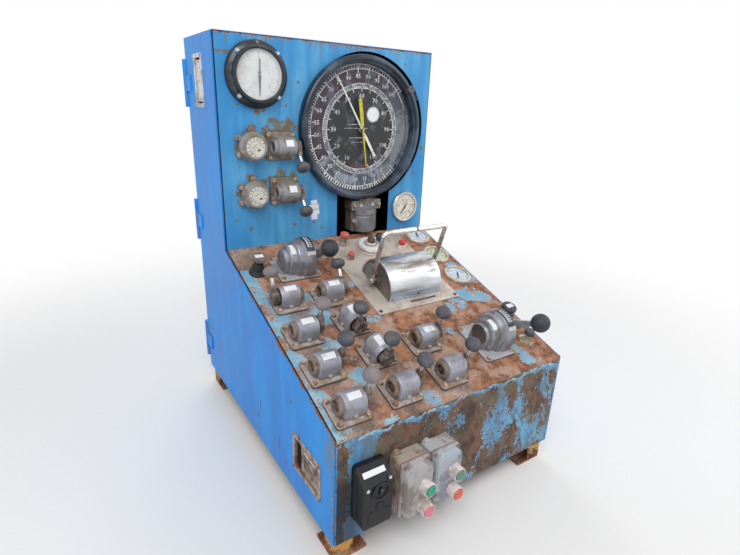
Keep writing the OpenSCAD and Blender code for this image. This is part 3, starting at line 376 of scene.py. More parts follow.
finish_cad("desk_plate", painted_steel("Rusted desk plate", DESK_BLUE, DESK_RUST, desk_bare, (28.0, 0.5),
                                       stain=desk_stain))

# Front wall: the same blue, worn through to brown and olive rust in upright smears
# where hoses rub it, bluest at its right and far left and chipped along the lip.
FRONT_BLUE = (colour(58, 136, 198), colour(104, 166, 204), colour(170, 204, 212))
FRONT_RUST = (colour(126, 96, 80), colour(76, 64, 60), colour(120, 116, 104))


def lip_depth(tree, where, split):
    """How far a point of the front lies below the torn line where the desk's rust ends, in metres."""
    below = less(tree, LIP_Z * MM, split["Z"])
    return total(tree, below, times(tree, noise(tree, where, 26.0, 7, 0.65), -0.06), 0.022)


def front_bare(tree, where, split):
    """Half bare all over in smears, less at the right and in an upright strip near the left edge. The rust
    of the desk comes over the lip and ends in a torn line, below which a strip of paint is left."""
    upright = scaled(tree, where, (10, 10, 5))
    smears = ramp(tree, noise(tree, upright, 1.0, 6, 0.6), 0.38, 0.62, 0.36, 0.84)
    right = ramp(tree, split["X"], -0.08, 0.16, 0.12, -0.02)
    left = total(tree, ramp(tree, split["X"], (LEFT_X + 20) * MM, (LEFT_X + 36) * MM, 0.12, -0.34),
                 ramp(tree, split["X"], (LEFT_X + 76) * MM, (LEFT_X + 116) * MM, 0.0, 0.34))
    depth = lip_depth(tree, where, split)
    over = ramp(tree, depth, 0.0, 0.006, 0.5, 0.0)
    strip = ramp(tree, depth, 0.008, 0.022, -0.40, 0.0)
    return total(tree, smears, right, left, over, strip)


def front_stain(tree, where, split):
    """Leaning dark streaks and an olive film in clouds, which dull the paint and the rust alike, pale torn
    paint along the line below the lip, and a painted dark navy shade low at the left corner."""
    leaning = node(tree, "ShaderNodeVectorRotate", {"Vector": where, "Angle": math.radians(24)},
                   rotation_type="Y_AXIS").outputs[0]
    streaks = ramp(tree, noise(tree, scaled(tree, leaning, (50, 50, 9)), 1.0, 7, 0.68), 0.47, 0.64, 0.0, 0.75)
    clouds = ramp(tree, noise(tree, where, 18.0, 8, 0.7), 0.46, 0.60, 0.0, 0.7)
    tint = mixed(tree, clouds, colour(78, 66, 60), colour(114, 112, 98))
    depth = lip_depth(tree, where, split)
    torn = times(tree, ramp(tree, depth, 0.0, 0.004), ramp(tree, depth, 0.006, 0.014, 0.9, 0.0))
    torn = times(tree, torn, ramp(tree, noise(tree, where, 70.0, 6, 0.7), 0.44, 0.54))
    # Painted shade: dark navy low on the front's left corner, near its left edge and below about 0.3 m.
    corner = times(tree, ramp(tree, split["X"], (LEFT_X + 50) * MM, (LEFT_X + 96) * MM, 0.85, 0.0),
                   ramp(tree, split["Z"], 0.21, 0.31, 1.0, 0.0))
    found = highest(tree, streaks, clouds, torn)
    tint = mixed(tree, torn, tint, colour(178, 208, 216))
    return highest(tree, found, corner), mixed(tree, corner, tint, colour(34, 48, 62))


finish_cad("front_wall", painted_steel("Worn front paint", FRONT_BLUE, FRONT_RUST, front_bare, (30.0, 0.45),
                                       (1, 1, 0.65), front_stain))

# Side door: a plain sheet with a stiffening rim inside, hung at the rear on three
# barrel hinges. Its paint is the best on the console, with a few long rust scratches.
SCRATCHES = [(-46, 196, 6, 26), (-25, 150, 6, 28), (-22, 102, 5, 30), (-180, 148, 5, 38), (-222, 118, 5, 30),
             (-158, 440, 5, 22), (-305, 252, 5, 36), (-262, 330, 7, 12), (-340, 215, 4, 18),
             (60, 640, 4, 12), (-240, 372, 4, 8), (-372, 262, 3, 20), (20, 560, 3, 6)]


def door_bare(tree, where, split):
    """Rust along the cut edges of the sheet and in scratches, each an upright ellipse (y, z, half width, half
    height). Below the panel the desk's slanting edge counts as an edge too."""
    found = along_edges(tree, split, [("Y", -FRONT_Y), ("Z", BASE_Z), ("Z", TOP_Z), ("Y", FRONT_Y)], 9, 0.5,
                        0.04)
    rise = math.tan(SLOPE)
    desk_line = math_node(tree, "MULTIPLY_ADD", split["Y"], rise)
    desk_line.node.inputs[2].default_value = (SEAM_Z - PANEL_Y * rise) * MM
    below = less(tree, desk_line, split["Z"])
    in_front = ramp(tree, split["Y"], PANEL_Y * MM - 0.001, PANEL_Y * MM, 1.0, 0.0)
    slanted = times(tree, in_front, ramp(tree, below, 0.0, 0.012, 0.52, 0.0))
    found = highest(tree, found, slanted)
    wobble = times(tree, noise(tree, where, 60.0, 5, 0.65), 1.1)
    for y, z, half_wide, half_high in SCRATCHES:
        aside = math_node(tree, "DIVIDE", less(tree, split["Y"], y * MM), half_wide * MM)
        up = math_node(tree, "DIVIDE", less(tree, split["Z"], z * MM), half_high * MM)
        away = total(tree, times(tree, aside, aside), times(tree, up, up), wobble)
        found = highest(tree, found, ramp(tree, away, 0.45, 1.2, 0.9, 0.0))
    return found


def door_stain(tree, where, split):
    """Grey-green grime beside the front edge, worn by hands and hoses, in fine upright streaks."""
    near = ramp(tree, split["Y"], (FRONT_Y + 6) * MM, (FRONT_Y + 90) * MM, 0.75, 0.0)
    streaks = ramp(tree, noise(tree, scaled(tree, where, (60, 60, 9)), 1.0, 7, 0.68), 0.46, 0.62)
    return times(tree, near, streaks), colour(112, 124, 118)


DOOR_BLUE = (colour(2, 126, 218), colour(34, 150, 234), colour(90, 160, 210))
DOOR_PAINT = painted_steel("Blue door enamel", DOOR_BLUE, RUST, door_bare, (30.0, 0.4), stain=door_stain)
finish_cad("side_door", DOOR_PAINT)
finish_cad("hinge_pins", DOOR_PAINT)


def place_at(origin, x_axis, z_axis):
    """A 4 by 4 frame, in millimetres, with its y axis worked out from the other two."""
    made = np.eye(4)
    made[:3, 0], made[:3, 2] = x_axis, z_axis
    made[:3, 1] = np.cross(z_axis, x_axis)
    made[:3, 3] = origin
    return made


def on_door(y, z, out=0):
    """Place on the door's outer face: x to the front, y up, z outwards."""
    return place_at((LEFT_X - out, y, z), (0, -1, 0), (-1, 0, 0))


def shifted(place, x=0.0, y=0.0, z=0.0, turn=None, angle=0.0):
    """A frame moved along its own axes, then turned about its own axis of that name by angle degrees."""
    made = place @ np.array(Matrix.Translation((x, y, z)))
    if turn:
        made = made @ np.array(Matrix.Rotation(math.radians(angle), 4, turn))
    return made


def loft(rings, caps=True):
    """Surface through rings of points, an array (rings, points, 3), closed round each ring and capped with
    fans."""
    rings = np.asarray(rings, float)
    count, size = rings.shape[:2]
    verts = rings.reshape(-1, 3)
    i, j = np.meshgrid(np.arange(count - 1), np.arange(size), indexing="ij")
    k = (j + 1) % size
    quads = np.stack([i * size + j, i * size + k, (i + 1) * size + k, (i + 1) * size + j], -1)
    faces = quads.reshape(-1, 4).tolist()
    if caps:
        verts = np.vstack([verts, rings[0].mean(0), rings[-1].mean(0)])
        n = np.arange(size)
        first, last = count * size, (count - 1) * size
        faces += np.stack([n, np.full(size, first), (n + 1) % size], -1).tolist()
        faces += np.stack([last + n, last + (n + 1) % size, np.full(size, first + 1)], -1).tolist()
    return verts, faces


def ring_of(outline, z):
    """A flat outline, an array (points, 2), at height z, which may be one number or one a point."""
    return np.column_stack([outline, np.broadcast_to(z, len(outline))])


def round_corners(width, length, radius, steps=6):
    """Outline of a rectangle with round corners: quarter circles of radius about points inset from its
    corners."""
    turn = np.linspace(0, math.pi / 2, steps)
    quarter = np.stack([np.cos(turn), np.sin(turn)], -1) * radius
    middle = np.array([width / 2 - radius, length / 2 - radius])
    corners = [(1, 1, quarter), (-1, 1, quarter[::-1] * (-1, 1)), (-1, -1, -quarter),
               (1, -1, quarter[::-1] * (1, -1))]
    return np.vstack([middle * (x, y) + arc for x, y, arc in corners])


def slab(width, length, thick, radius, edge=1.0):
    """A plate on z = 0 with round corners, whose rims are cut back by edge."""
    whole = round_corners(width, length, radius)
    cut = round_corners(width - 2 * edge, length - 2 * edge, max(radius - edge, 0.1))
    return loft([ring_of(cut, 0), ring_of(whole, edge), ring_of(whole, thick - edge), ring_of(cut, thick)])


def lathe(profile, steps=40):
    """A profile of (radius, height) points turned once about z. It is capped where it starts and ends off the
    axis, unless it ends where it started."""
    profile = np.asarray(profile, float)
    turn = np.linspace(0, 2 * math.pi, steps, endpoint=False)
    rings = np.stack([np.outer(profile[:, 0], np.cos(turn)), np.outer(profile[:, 0], np.sin(turn)),
                      np.repeat(profile[:, 1:], steps, 1)], -1)
    open_ended = profile[0, 0] > 0 or profile[-1, 0] > 0
    return loft(rings, caps=bool(open_ended and not np.allclose(profile[0], profile[-1])))


def moved(shape, place):
    """A shape's points taken through a 4 by 4 frame."""
    verts, faces = shape
    return verts @ place[:3, :3].T + place[:3, 3], faces


def build(name, parts, body, replaces=(), smooth=34):
    """One mesh object from (shape, place, material) parts. Each part has its own doubles merged and its own
    normals turned outwards, so parts that touch stay apart."""
    whole = bmesh.new()
    mesh = bpy.data.meshes.new(name)
    finishes = []
    for shape, place, finish in parts:
        if finish not in finishes:
            finishes.append(finish)
        verts, faces = moved(shape, place)
        piece = bpy.data.meshes.new(name)
        piece.from_pydata((verts * MM).tolist(), [], faces)
        piece.polygons.foreach_set("material_index", [finishes.index(finish)] * len(piece.polygons))
        welded = bmesh.new()
        welded.from_mesh(piece)
        bmesh.ops.remove_doubles(welded, verts=welded.verts, dist=1e-6)
        bmesh.ops.dissolve_degenerate(welded, edges=welded.edges, dist=1e-7)
        bmesh.ops.recalc_face_normals(welded, faces=welded.faces)
        welded.to_mesh(piece)
        welded.free()
        whole.from_mesh(piece)
        bpy.data.meshes.remove(piece)
    whole.to_mesh(mesh)
    whole.free()
    for finish in finishes:
        mesh.materials.append(finish)
    mesh.polygons.foreach_set("use_smooth", [True] * len(mesh.polygons))
    mesh.set_sharp_from_angle(angle=math.radians(smooth))
    made = bpy.data.objects.new(name, mesh)
    bpy.context.scene.collection.objects.link(made)
    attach(made, body)
    if replaces:
        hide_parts(*replaces)
    return made


# Paddle latches: dished plates of zinc-plated steel, bolted into the door near its
# top and bottom, each with a paddle that the fingers pull out. The lower one has browned.
def mottled_group():
    """One colour that drifts to a second where fractal noise passes 0.68 - 0.36 Share, with a fine grain."""
    tree, given, out = node_group(
        "Mottled",
        {"Vector": "v", "Base": "c", "Second": "c", "Scale": "f", "Share": "f", "Rough": "f", "Grain": "f"},
        {"Color": "c", "Roughness": "f", "Height": "f", "Mask": "f"},
    )
    blotch = noise(tree, given["Vector"], given["Scale"], 8, 0.64)
    limit = less(tree, 0.68, times(tree, given["Share"], 0.36))
    mask = ramp(tree, less(tree, blotch, limit), -0.07, 0.07)
    tree.links.new(mixed(tree, mask, given["Base"], given["Second"]), out.inputs["Color"])
    grain = noise(tree, given["Vector"], given["Grain"], 5, 0.65)
    grain_part = times(tree, less(tree, grain, 0.5), 0.3)
    tree.links.new(total(tree, given["Rough"], times(tree, mask, 0.18), grain_part), out.inputs["Roughness"])
    tree.links.new(grain, out.inputs["Height"])
    tree.links.new(mask, out.inputs["Mask"])
    return tree


MOTTLED = mottled_group()


def mottled(name, base, second, rough=0.5, metallic=0.0, scale=40.0, share=0.4, grain=400.0, bump=0.15,
            coat=0.0):
    """A surface in two drifting colours with a fine grain."""
    made, tree, shader, where = new_material(name)
    finish = placed_group(tree, MOTTLED, where, {
        "Base": colour(*base), "Second": colour(*second), "Scale": scale, "Share": share, "Rough": rough,
        "Grain": grain})
    tree.links.new(finish["Color"], shader.inputs["Base Color"])
    tree.links.new(finish["Roughness"], shader.inputs["Roughness"])
    shader.inputs["Metallic"].default_value = metallic
    shader.inputs["Coat Weight"].default_value = coat
    bumped(tree, shader, finish["Height"], bump, 0.0006)
    return made


ZINC_BROWN = mottled("Browned zinc", (170, 156, 144), (112, 92, 80), 0.5, 0.4, 45.0, 0.5)
BOLT_RUST = mottled("Rusty bolt", (182, 162, 142), (136, 104, 84), 0.75, 0.1, 60.0, 0.5)
BOLT_BRIGHT = mottled("Bright bolt", (208, 210, 214), (150, 150, 150), 0.3, 0.85, 60.0, 0.3)


def hexagon(across, height):
    """A six-sided head with cut corners, whose flats are across apart, standing on z = 0."""
    turn = np.arange(6) * math.pi / 3 + math.pi / 6
    ring = np.stack([np.cos(turn), np.sin(turn)], -1) * across / math.sqrt(3)
    return loft([ring_of(ring, 0), ring_of(ring, height * 0.8), ring_of(ring * 0.86, height)])


def pin(radius, low, high, steps):
    """A plain round pin about z, from one height to another."""
    return lathe([(0, low), (radius, low), (radius, high), (0, high)], steps)


def bolt(place, material, across=11.0, height=5.0):
    """A washer and a hexagon head at a place, as parts."""
    washer = pin(across * 0.72, 0, 1.2, 20)
    return [(washer, place, material), (hexagon(across, height), shifted(place, z=1.2), material)]


def corner_bolts(material, y, z, half_wide, half_high):
    """Four small bolts through the rim of a dished plate, from its middle."""
    parts = []
    for aside in (-1, 1):
        for up in (-1, 1):
            parts += bolt(on_door(y + aside * half_wide, z + up * half_high, 2), material, 6.0, 2.5)
    return parts


def latch_zinc(name, turning_z):
    """Dull zinc above turning_z metres and browned zinc below it, on the node that holds both dished plates.
    Their trays are near-black with painted shade."""
    made, tree, shader, where = new_material(name)
    split = node(tree, "ShaderNodeSeparateXYZ", {0: where}).outputs
    high = ramp(tree, split["Z"], turning_z - 0.1, turning_z + 0.1)
    bright = placed_group(tree, MOTTLED, where,
                          {"Base": colour(214, 216, 220), "Second": colour(164, 158, 152),
                           "Scale": 34.0, "Share": 0.4, "Rough": 0.4, "Grain": 300.0})
    brown = mixed(tree, bright["Mask"], colour(184, 160, 144), colour(128, 102, 86))
    # Painted shade in the trays: darkening from 2 mm inside the door's face, near-black by 7 mm.
    tray_shade = ramp(tree, split["X"], (LEFT_X + 2) * MM, (LEFT_X + 7) * MM, 0.0, 0.85)
    plate = mixed(tree, high, brown, bright["Color"])
    tree.links.new(mixed(tree, tray_shade, plate, colour(42, 40, 44)), shader.inputs["Base Color"])
    tree.links.new(bright["Roughness"], shader.inputs["Roughness"])
    shader.inputs["Metallic"].default_value = 0.45
    bumped(tree, shader, bright["Height"], 0.15, 0.0006)
    return made


UPPER_LATCH = (PANEL_Y + 140, TOP_Z - 124)
LOWER_LATCH = (FRONT_Y + 134, LIP_Z - 158)
finish_cad("latch_dishes", latch_zinc("Latch plates", 0.6))
UPPER_ZINC = mottled("Pale zinc paddle", (220, 216, 220), (176, 168, 166), 0.42, 0.35, 40.0, 0.35)
finish_cad("upper_paddle", UPPER_ZINC)
finish_cad("lower_paddle", ZINC_BROWN)
LOWER_PADDLE_Y = LOWER_LATCH[0] - 14
# The bead on the lower paddle's top edge is pale zinc as a painted highlight; the rest are browned.
beads = [(slab(60, 4, 1.6, 1.4, 0.4), on_door(LOWER_PADDLE_Y, LOWER_LATCH[1] + rise, -2), finish)
         for rise, finish in ((-26, ZINC_BROWN), (26, UPPER_ZINC))]
beads += [(slab(3, 52, 1.2, 1.4, 0.4), on_door(LOWER_PADDLE_Y + aside, LOWER_LATCH[1], -2), ZINC_BROWN)
          for aside in (-30, 30)]
build("lower_paddle_beads", beads, "lower_paddle")
UPPER_LIP = [(slab(34, 5, 2.2, 2, 0.6), on_door(UPPER_LATCH[0], UPPER_LATCH[1] + 38, -2), UPPER_ZINC),
             (slab(40, 84, 1.4, 12, 0.6), on_door(UPPER_LATCH[0], UPPER_LATCH[1] - 10, -2), UPPER_ZINC)]
build("upper_paddle_pressing", UPPER_LIP, "upper_paddle")
UPPER_BOLTS = corner_bolts(BOLT_BRIGHT, *UPPER_LATCH, 36, 66)
LOWER_BOLTS = corner_bolts(BOLT_RUST, *LOWER_LATCH, 68, 48)
build("latch_bolts", UPPER_BOLTS + LOWER_BOLTS, "door")

# Instrument panel: blue sheet with a keyhole burnt through it for the indicator. Rust
# runs down from the top edge, and brown and green dirt lies above the valves.
PANEL_DIRT = [(176, 354, 32), (214, 354, 26), (148, 350, 18), (190, 216, 22), (226, 212, 16), (150, 214, 12),
              (95, 350, 18), (56, 306, 16), (132, 336, 14), (95, 210, 18), (56, 168, 13), (128, 198, 12),
              (40, 90, 6), (85, 60, 6), (150, 100, 5), (230, 60, 6), (330, 40, 6), (734, 290, 8),
              (640, 560, 4), (60, 420, 5), (250, 486, 4), (210, 420, 3), (120, 402, 11), (140, 404, 7),
              (120, 300, 5), (60, 250, 4), (300, 60, 4), (700, 200, 4), (720, 420, 3)]


def panel_bare(tree, where, split):
    """Bare in a thin ragged strip at the top edge and in a few specks, and a little by the seam."""
    top = ramp(tree, split["Z"], (TOP_Z - 12) * MM, (TOP_Z - 1) * MM, 0.0, 0.75)
    seam = ramp(tree, split["Z"], SEAM_Z * MM, (SEAM_Z + 22) * MM, 0.34, 0.0)
    return total(tree, top, seam, 0.05)


def runs_below(tree, where, split, edge_z, spacing, longest):
    """Runs down from a level edge. Each is as long as a noise along the edge, drawn out upright, is high."""
    across = noise(tree, scaled(tree, where, (spacing, spacing, 2)), 1.0, 4, 0.6)
    wettest = ramp(tree, noise(tree, scaled(tree, where, (9, 9, 1)), 1.0, 3), 0.42, 0.58, 0.25, 1.0)
    long = times(tree, ramp(tree, across, 0.46, 0.76, 0.0, longest * MM), wettest)
    broken = times(tree, noise(tree, where, 120.0, 5, 0.7), 0.012)
    depth = total(tree, less(tree, edge_z * MM, split["Z"]), broken)
    return ramp(tree, less(tree, long, depth), -0.004, 0.006, 0.0, 0.85)


def panel_stain(tree, where, split):
    """Rusty runs below the top edge, dirt spots, a rust line at the gauge's upper left and pale upright
    wear."""
    fine = runs_below(tree, where, split, TOP_Z, 230, 80)
    drip = highest(tree, fine, runs_below(tree, where, split, TOP_Z, 90, 40))
    places = [(x + LEFT_X, PANEL_Y, SEAM_Z + z, r) for x, z, r in PANEL_DIRT]
    dirt = times(tree, spots(tree, where, places, 2.1, 46.0), 0.92)
    rising = total(tree, split["Z"], times(tree, noise(tree, where, 40.0, 4), 0.012))
    off = math_node(tree, "ABSOLUTE", less(tree, rising, (SEAM_Z + 560) * MM))
    weld = times(tree, ramp(tree, off, 0.002, 0.006, 0.8, 0.0),
                 ramp(tree, split["X"], (LEFT_X + 52) * MM, (LEFT_X + 66) * MM, 1.0, 0.0))
    dirt = highest(tree, dirt, weld)
    grains = ramp(tree, noise(tree, where, 90.0, 5, 0.7), 0.42, 0.58)
    tint = mixed(tree, grains, colour(116, 118, 82), colour(122, 84, 48))
    return highest(tree, drip, dirt), mixed(tree, drip, tint, colour(140, 98, 70))


PANEL_BLUE = (colour(60, 140, 200), colour(92, 166, 212), colour(126, 184, 214))
finish_cad("instrument_panel", painted_steel("Blue panel enamel", PANEL_BLUE, RUST, panel_bare, (32.0, 0.5),
                                             stain=panel_stain))


def on_panel(x, z, out=0):
    """Place on the panel's face, from the cabinet's left edge and up from the seam: x right, y up, z
    outwards."""
    return place_at((x + LEFT_X, PANEL_Y - out, SEAM_Z + z), (1, 0, 0), (0, -1, 0))


WHITE_TAG = mottled("White engraved plate", (226, 229, 233), (200, 202, 204), 0.5, 0.0, 50.0, 0.25, bump=0.05)
TAG_STACK = [(300, 126, 22, 13), (300, 110, 34, 17), (298, 93, 42, 15), (301, 77, 22, 17)]
build("panel_tags", [(slab(w, h, 1.6, 1.0, 0.4), on_panel(x, z), WHITE_TAG) for x, z, w, h in TAG_STACK],
      "console")

# Weight indicator: a 16-inch class dial in a deep spun case with a broad rounded
# bezel, set through the keyhole. Black face, white scales, a white counter disc.
IND_X, IND_Z = 470, 353
BEZEL_R, DIAL_R = 225, 200
BEZEL_OUT, DIAL_OUT, CASE_DEEP = 34, 4, 70
BEZEL_PAINT = mottled("Dark bezel enamel", (6, 24, 42), (60, 80, 98), 0.36, 0.1, 7.0, 0.40, 200.0, 0.05, 0.2)
DIAL_BLACK = mottled("Dusty black dial", (16, 18, 23), (78, 82, 90), 0.5, 0.0, 26.0, 0.26, bump=0.02,
                     coat=0.3)
# Painted glare: this grey lies over the right side of the dial's outer band and rim.
GLARE_GREY = mottled("Grey of the painted dial glare", (62, 66, 76), (116, 122, 132), 0.5, 0.0, 16.0, 0.5, bump=0.02,
                    coat=0.3)
DIAL_CLOUD = mottled("Pale clouded band", (66, 74, 86), (132, 142, 154), 0.5, 0.0, 30.0, 0.5, bump=0.02,
                     coat=0.3)
DIAL_MAROON = mottled("Maroon dial band", (46, 30, 44), (86, 82, 98), 0.5, 0.0, 30.0, 0.36, bump=0.02,
                      coat=0.3)
RING_HAZE = mottled("Hazy white ring", (136, 142, 148), (84, 88, 94), 0.5, 0.0, 60.0, 0.5, bump=0.0)
DIAL_WHITE = mottled("White dial print", (228, 230, 232), (176, 180, 186), 0.5, 0.0, 30.0, 0.4, bump=0.0)
DIAL_FAINT = mottled("Faded dial print", (178, 184, 192), (122, 128, 138), 0.5, 0.0, 30.0, 0.45, bump=0.0)
DIAL_RED = mottled("Red dial print", (186, 62, 60), (130, 66, 68), 0.5, 0.0, 60.0, 0.4, bump=0.0)
DARK_STEEL = mottled("Dark pressed steel", (38, 42, 48), (70, 60, 54), 0.55, 0.3, 20.0, 0.4)


def bars(angles, inner, outer, width, thick):
    """Radial marks: at each angle from the top, clockwise in degrees, a thin box from radius inner to
    outer."""
    turn = np.radians(90 - np.asarray(angles, float))
    along = np.stack([np.cos(turn), np.sin(turn)], -1)
    aside = np.stack([-np.sin(turn), np.cos(turn)], -1) * width / 2
    corners = np.stack([along * inner - aside, along * outer - aside, along * outer + aside,
                        along * inner + aside], 1)
    low = np.concatenate([corners, np.zeros((*corners.shape[:2], 1))], -1)
    verts = np.concatenate([low, low + (0, 0, thick)], 1).reshape(-1, 3)
    box = np.array([[0, 3, 2, 1], [4, 5, 6, 7], [0, 1, 5, 4], [1, 2, 6, 5], [2, 3, 7, 6], [3, 0, 4, 7]])
    faces = (box[None] + 8 * np.arange(len(turn))[:, None, None]).reshape(-1, 4).tolist()
    return verts, faces


def band(start, end, inner, outer, thick, steps=60):
    """A flat ring or part of one, from one angle to another clockwise from the top, as a thin closed
    strip."""
    turn = np.radians(90 - np.linspace(start, end, steps))
    circle = np.stack([np.cos(turn), np.sin(turn)], -1)
    section = [(inner, 0), (outer, 0), (outer, thick), (inner, thick)]
    rings = np.stack([np.column_stack([circle * r, np.full(steps, h)]) for r, h in section], 1)
    return loft(rings)


def numeral(text, size, height=0.3):
    """A number as a flat mesh centred on its place, from Blender's own plain lettering."""
    curve = bpy.data.curves.new("numeral", "FONT")
    curve.body, curve.size = text, size
    curve.align_x, curve.align_y = "CENTER", "CENTER"
    curve.extrude, curve.resolution_u = height / 2, 1
    holder = bpy.data.objects.new("numeral", curve)
    mesh = holder.to_mesh()
    verts = np.array([v.co for v in mesh.vertices]).reshape(-1, 3) + (0, 0, height / 2)
    faces = [list(p.vertices) for p in mesh.polygons]
    holder.to_mesh_clear()
    bpy.data.objects.remove(holder)
    bpy.data.curves.remove(curve)
    return verts, faces


def numerals(labels, angles, radius, size, place, material):
    """Numbers set upright round a dial at angles clockwise from the top."""
    parts = []
    for label, angle in zip(labels, angles):
        a = math.radians(90 - angle)
        spot = shifted(place, radius * math.cos(a), radius * math.sin(a))
        parts.append((numeral(str(label), size), spot, material))
    return parts


def around(place, angle, radius, up=0.0):
    """A place turned about its own z by an angle, then moved out by a radius and up."""
    return shifted(shifted(place, turn="Z", angle=angle), x=radius, z=up)


face = on_panel(IND_X, IND_Z, DIAL_OUT)
turn = np.radians(np.arange(0, 91, 11.25))
rounding = np.stack([BEZEL_R - 13 + 13 * np.cos(turn), BEZEL_OUT - 11 + 11 * np.sin(turn)], -1)
bezel = np.vstack([[(DIAL_R, -4), (BEZEL_R - 5, -4), (BEZEL_R - 5, 2), (BEZEL_R, 6)], rounding,
                   [(DIAL_R + 7, BEZEL_OUT - 3), (DIAL_R + 6, BEZEL_OUT - 7), (DIAL_R + 1, BEZEL_OUT - 9),
                    (DIAL_R, BEZEL_OUT - 14), (DIAL_R, -4)]])
case = [(0, DIAL_OUT - 1), (DIAL_R, DIAL_OUT - 1), (DIAL_R, -CASE_DEEP + 10), (DIAL_R - 3, -CASE_DEEP + 3),
        (DIAL_R - 10, -CASE_DEEP), (0, -CASE_DEEP)]
case_place = on_panel(IND_X, IND_Z)
indicator = [(lathe(bezel, 96), case_place, BEZEL_PAINT), (lathe(case, 96), case_place, DARK_STEEL)]
for angle in (30, 150, 215, 325):
    lug = around(on_panel(492, IND_Z, -9), angle, 211)
    indicator.append((slab(102, 44, 6, 4), lug, DARK_STEEL))
    indicator += bolt(shifted(lug, x=38, z=0, turn="X", angle=180), BOLT_RUST, 13, 7)
screw = around(case_place, 37, BEZEL_R - 9, BEZEL_OUT - 8)
ADJUSTER = mottled("Grey adjuster knob", (96, 104, 114), (78, 80, 84), 0.45, 0.2, 60.0, 0.4)
indicator.append((lathe([(0, 0), (12, 0), (12, 13), (10, 15), (4, 15), (3, 13.5), (0, 13.5)], 28), screw,
                  ADJUSTER))
SCALE_R = 184
FILM, INK = 0.2, 0.25
RING_R = 127
indicator += [
    (pin(DIAL_R - 0.5, -1, 0, 96), face, DIAL_BLACK),
    # The grey bands on the dial's right side, here and on its rim, are painted glare.
    (band(48, 150, RING_R + 16, SCALE_R - 3, FILM), face, GLARE_GREY),
    (band(150, 236, RING_R + 16, SCALE_R - 3, FILM), face, DIAL_CLOUD),
    (band(236, 408, RING_R + 16, SCALE_R - 3, FILM), face, DIAL_MAROON),
    (band(0, 360, RING_R, RING_R + 14, FILM, 97), face, RING_HAZE),
    (band(52, 128, SCALE_R, DIAL_R - 3, FILM), face, GLARE_GREY),
]
print_on = shifted(face, z=0.3)
indicator += [
    (band(128, 430, SCALE_R - 1.4, SCALE_R + 0.8, INK, 120), print_on, DIAL_WHITE),
    (band(306, 412, SCALE_R + 12, SCALE_R + 14, INK, 60), print_on, DIAL_WHITE),
    (band(128, 226, SCALE_R + 12, SCALE_R + 13.4, INK, 60), print_on, DIAL_FAINT),
    (bars(np.arange(226, 306, 2.6), SCALE_R, SCALE_R + 8, 2.0, INK), print_on, DIAL_WHITE),
    (bars(np.arange(306, 412, 3.0), SCALE_R, SCALE_R + 13, 3.2, INK), print_on, DIAL_FAINT),
    (bars(np.arange(134, 226, 3.0), SCALE_R, SCALE_R + 13, 4.6, INK), print_on, DIAL_WHITE),
    (bars(np.arange(134, 412, 13.0), SCALE_R - 13, SCALE_R + 8, 2.6, INK), print_on, DIAL_WHITE),
    (band(0, 360, RING_R - 1.0, RING_R + 0.8, INK, 97), print_on, DIAL_WHITE),
    (band(0, 360, RING_R + 13, RING_R + 14.6, INK, 97), print_on, DIAL_WHITE),
    (bars(np.arange(0, 360, 3.0), RING_R + 1, RING_R + 8, 1.6, INK), print_on, DIAL_WHITE),
    (bars(np.arange(0, 360, 15.0), RING_R - 11, RING_R + 13, 2.2, INK), print_on, DIAL_WHITE),
    (bars(np.arange(168, 196, 3.0), RING_R - 13, RING_R - 3, 2.0, INK), print_on, DIAL_RED),
    (band(0, 360, 23, 24.5, 0.3, 60), shifted(print_on, 46, 47), DIAL_WHITE),
    (pin(22, 0, 0.4, 40), shifted(print_on, 46, 47), WHITE_TAG),
]
outer_angles = np.arange(147, 412, 13.0)
indicator += numerals(range(5, 5 * len(outer_angles) + 5, 5), outer_angles, SCALE_R - 22, 19, print_on,
                      DIAL_WHITE)
inner_angles = np.arange(210, 511, 30.0)
indicator += numerals(range(10, 10 * len(inner_angles) + 10, 10), inner_angles, RING_R - 24, 21, print_on,
                      DIAL_WHITE)
for rise, long in ((16, 64), (4, 88), (-26, 60), (-40, 44)):
    indicator.append((slab(long, 2.2, 0.25, 0.2, 0.05), shifted(print_on, -18 if rise > 0 else -14, rise),
                      DIAL_FAINT))
build("indicator_dial", indicator, "console", ["weight_indicator"])

# Indicator hands: cut from thin sheet and painted, a white one that reads the hook
# load and a yellow one for the weight on the bit, on one turned arbor.
HAND_WHITE = mottled("White hand", (230, 230, 224), (200, 198, 186), 0.45, 0.0, 60.0, 0.3, bump=0.05)
HAND_YELLOW = mottled("Yellow hand", (206, 190, 40), (164, 150, 46), 0.45, 0.0, 60.0, 0.3, bump=0.05)
ARBOR = mottled("Turned brass arbor", (168, 158, 128), (110, 104, 90), 0.35, 0.8, 60.0, 0.4)


def hand(tip, tail, tip_wide, tail_wide, thick=1.6):
    """A hand along x: tapers from the arbor to its tip, and widens to a square-ended tail."""
    outline = np.array([(tip, -tip_wide / 2), (tip, tip_wide / 2), (0, 3.2), (-tail * 0.12, 2.6),
                        (-tail * 0.3, tail_wide / 2), (-tail, tail_wide / 2), (-tail, -tail_wide / 2),
                        (-tail * 0.3, -tail_wide / 2), (-tail * 0.12, -2.6), (0, -3.2)])
    return loft([ring_of(outline, 0), ring_of(outline, thick)])


arbor = [(0, 0), (9, 0), (9, 5), (5, 6), (5, 18), (0, 18)]
build("indicator_hands", [
    (hand(184, 100, 2.4, 9), shifted(case_place, z=13, turn="Z", angle=121), HAND_WHITE),
    (hand(118, 96, 3.0, 12), shifted(case_place, z=17, turn="Z", angle=-82), HAND_YELLOW),
    (lathe(arbor, 24), face, ARBOR),
], "console", ["indicator_pointers"])

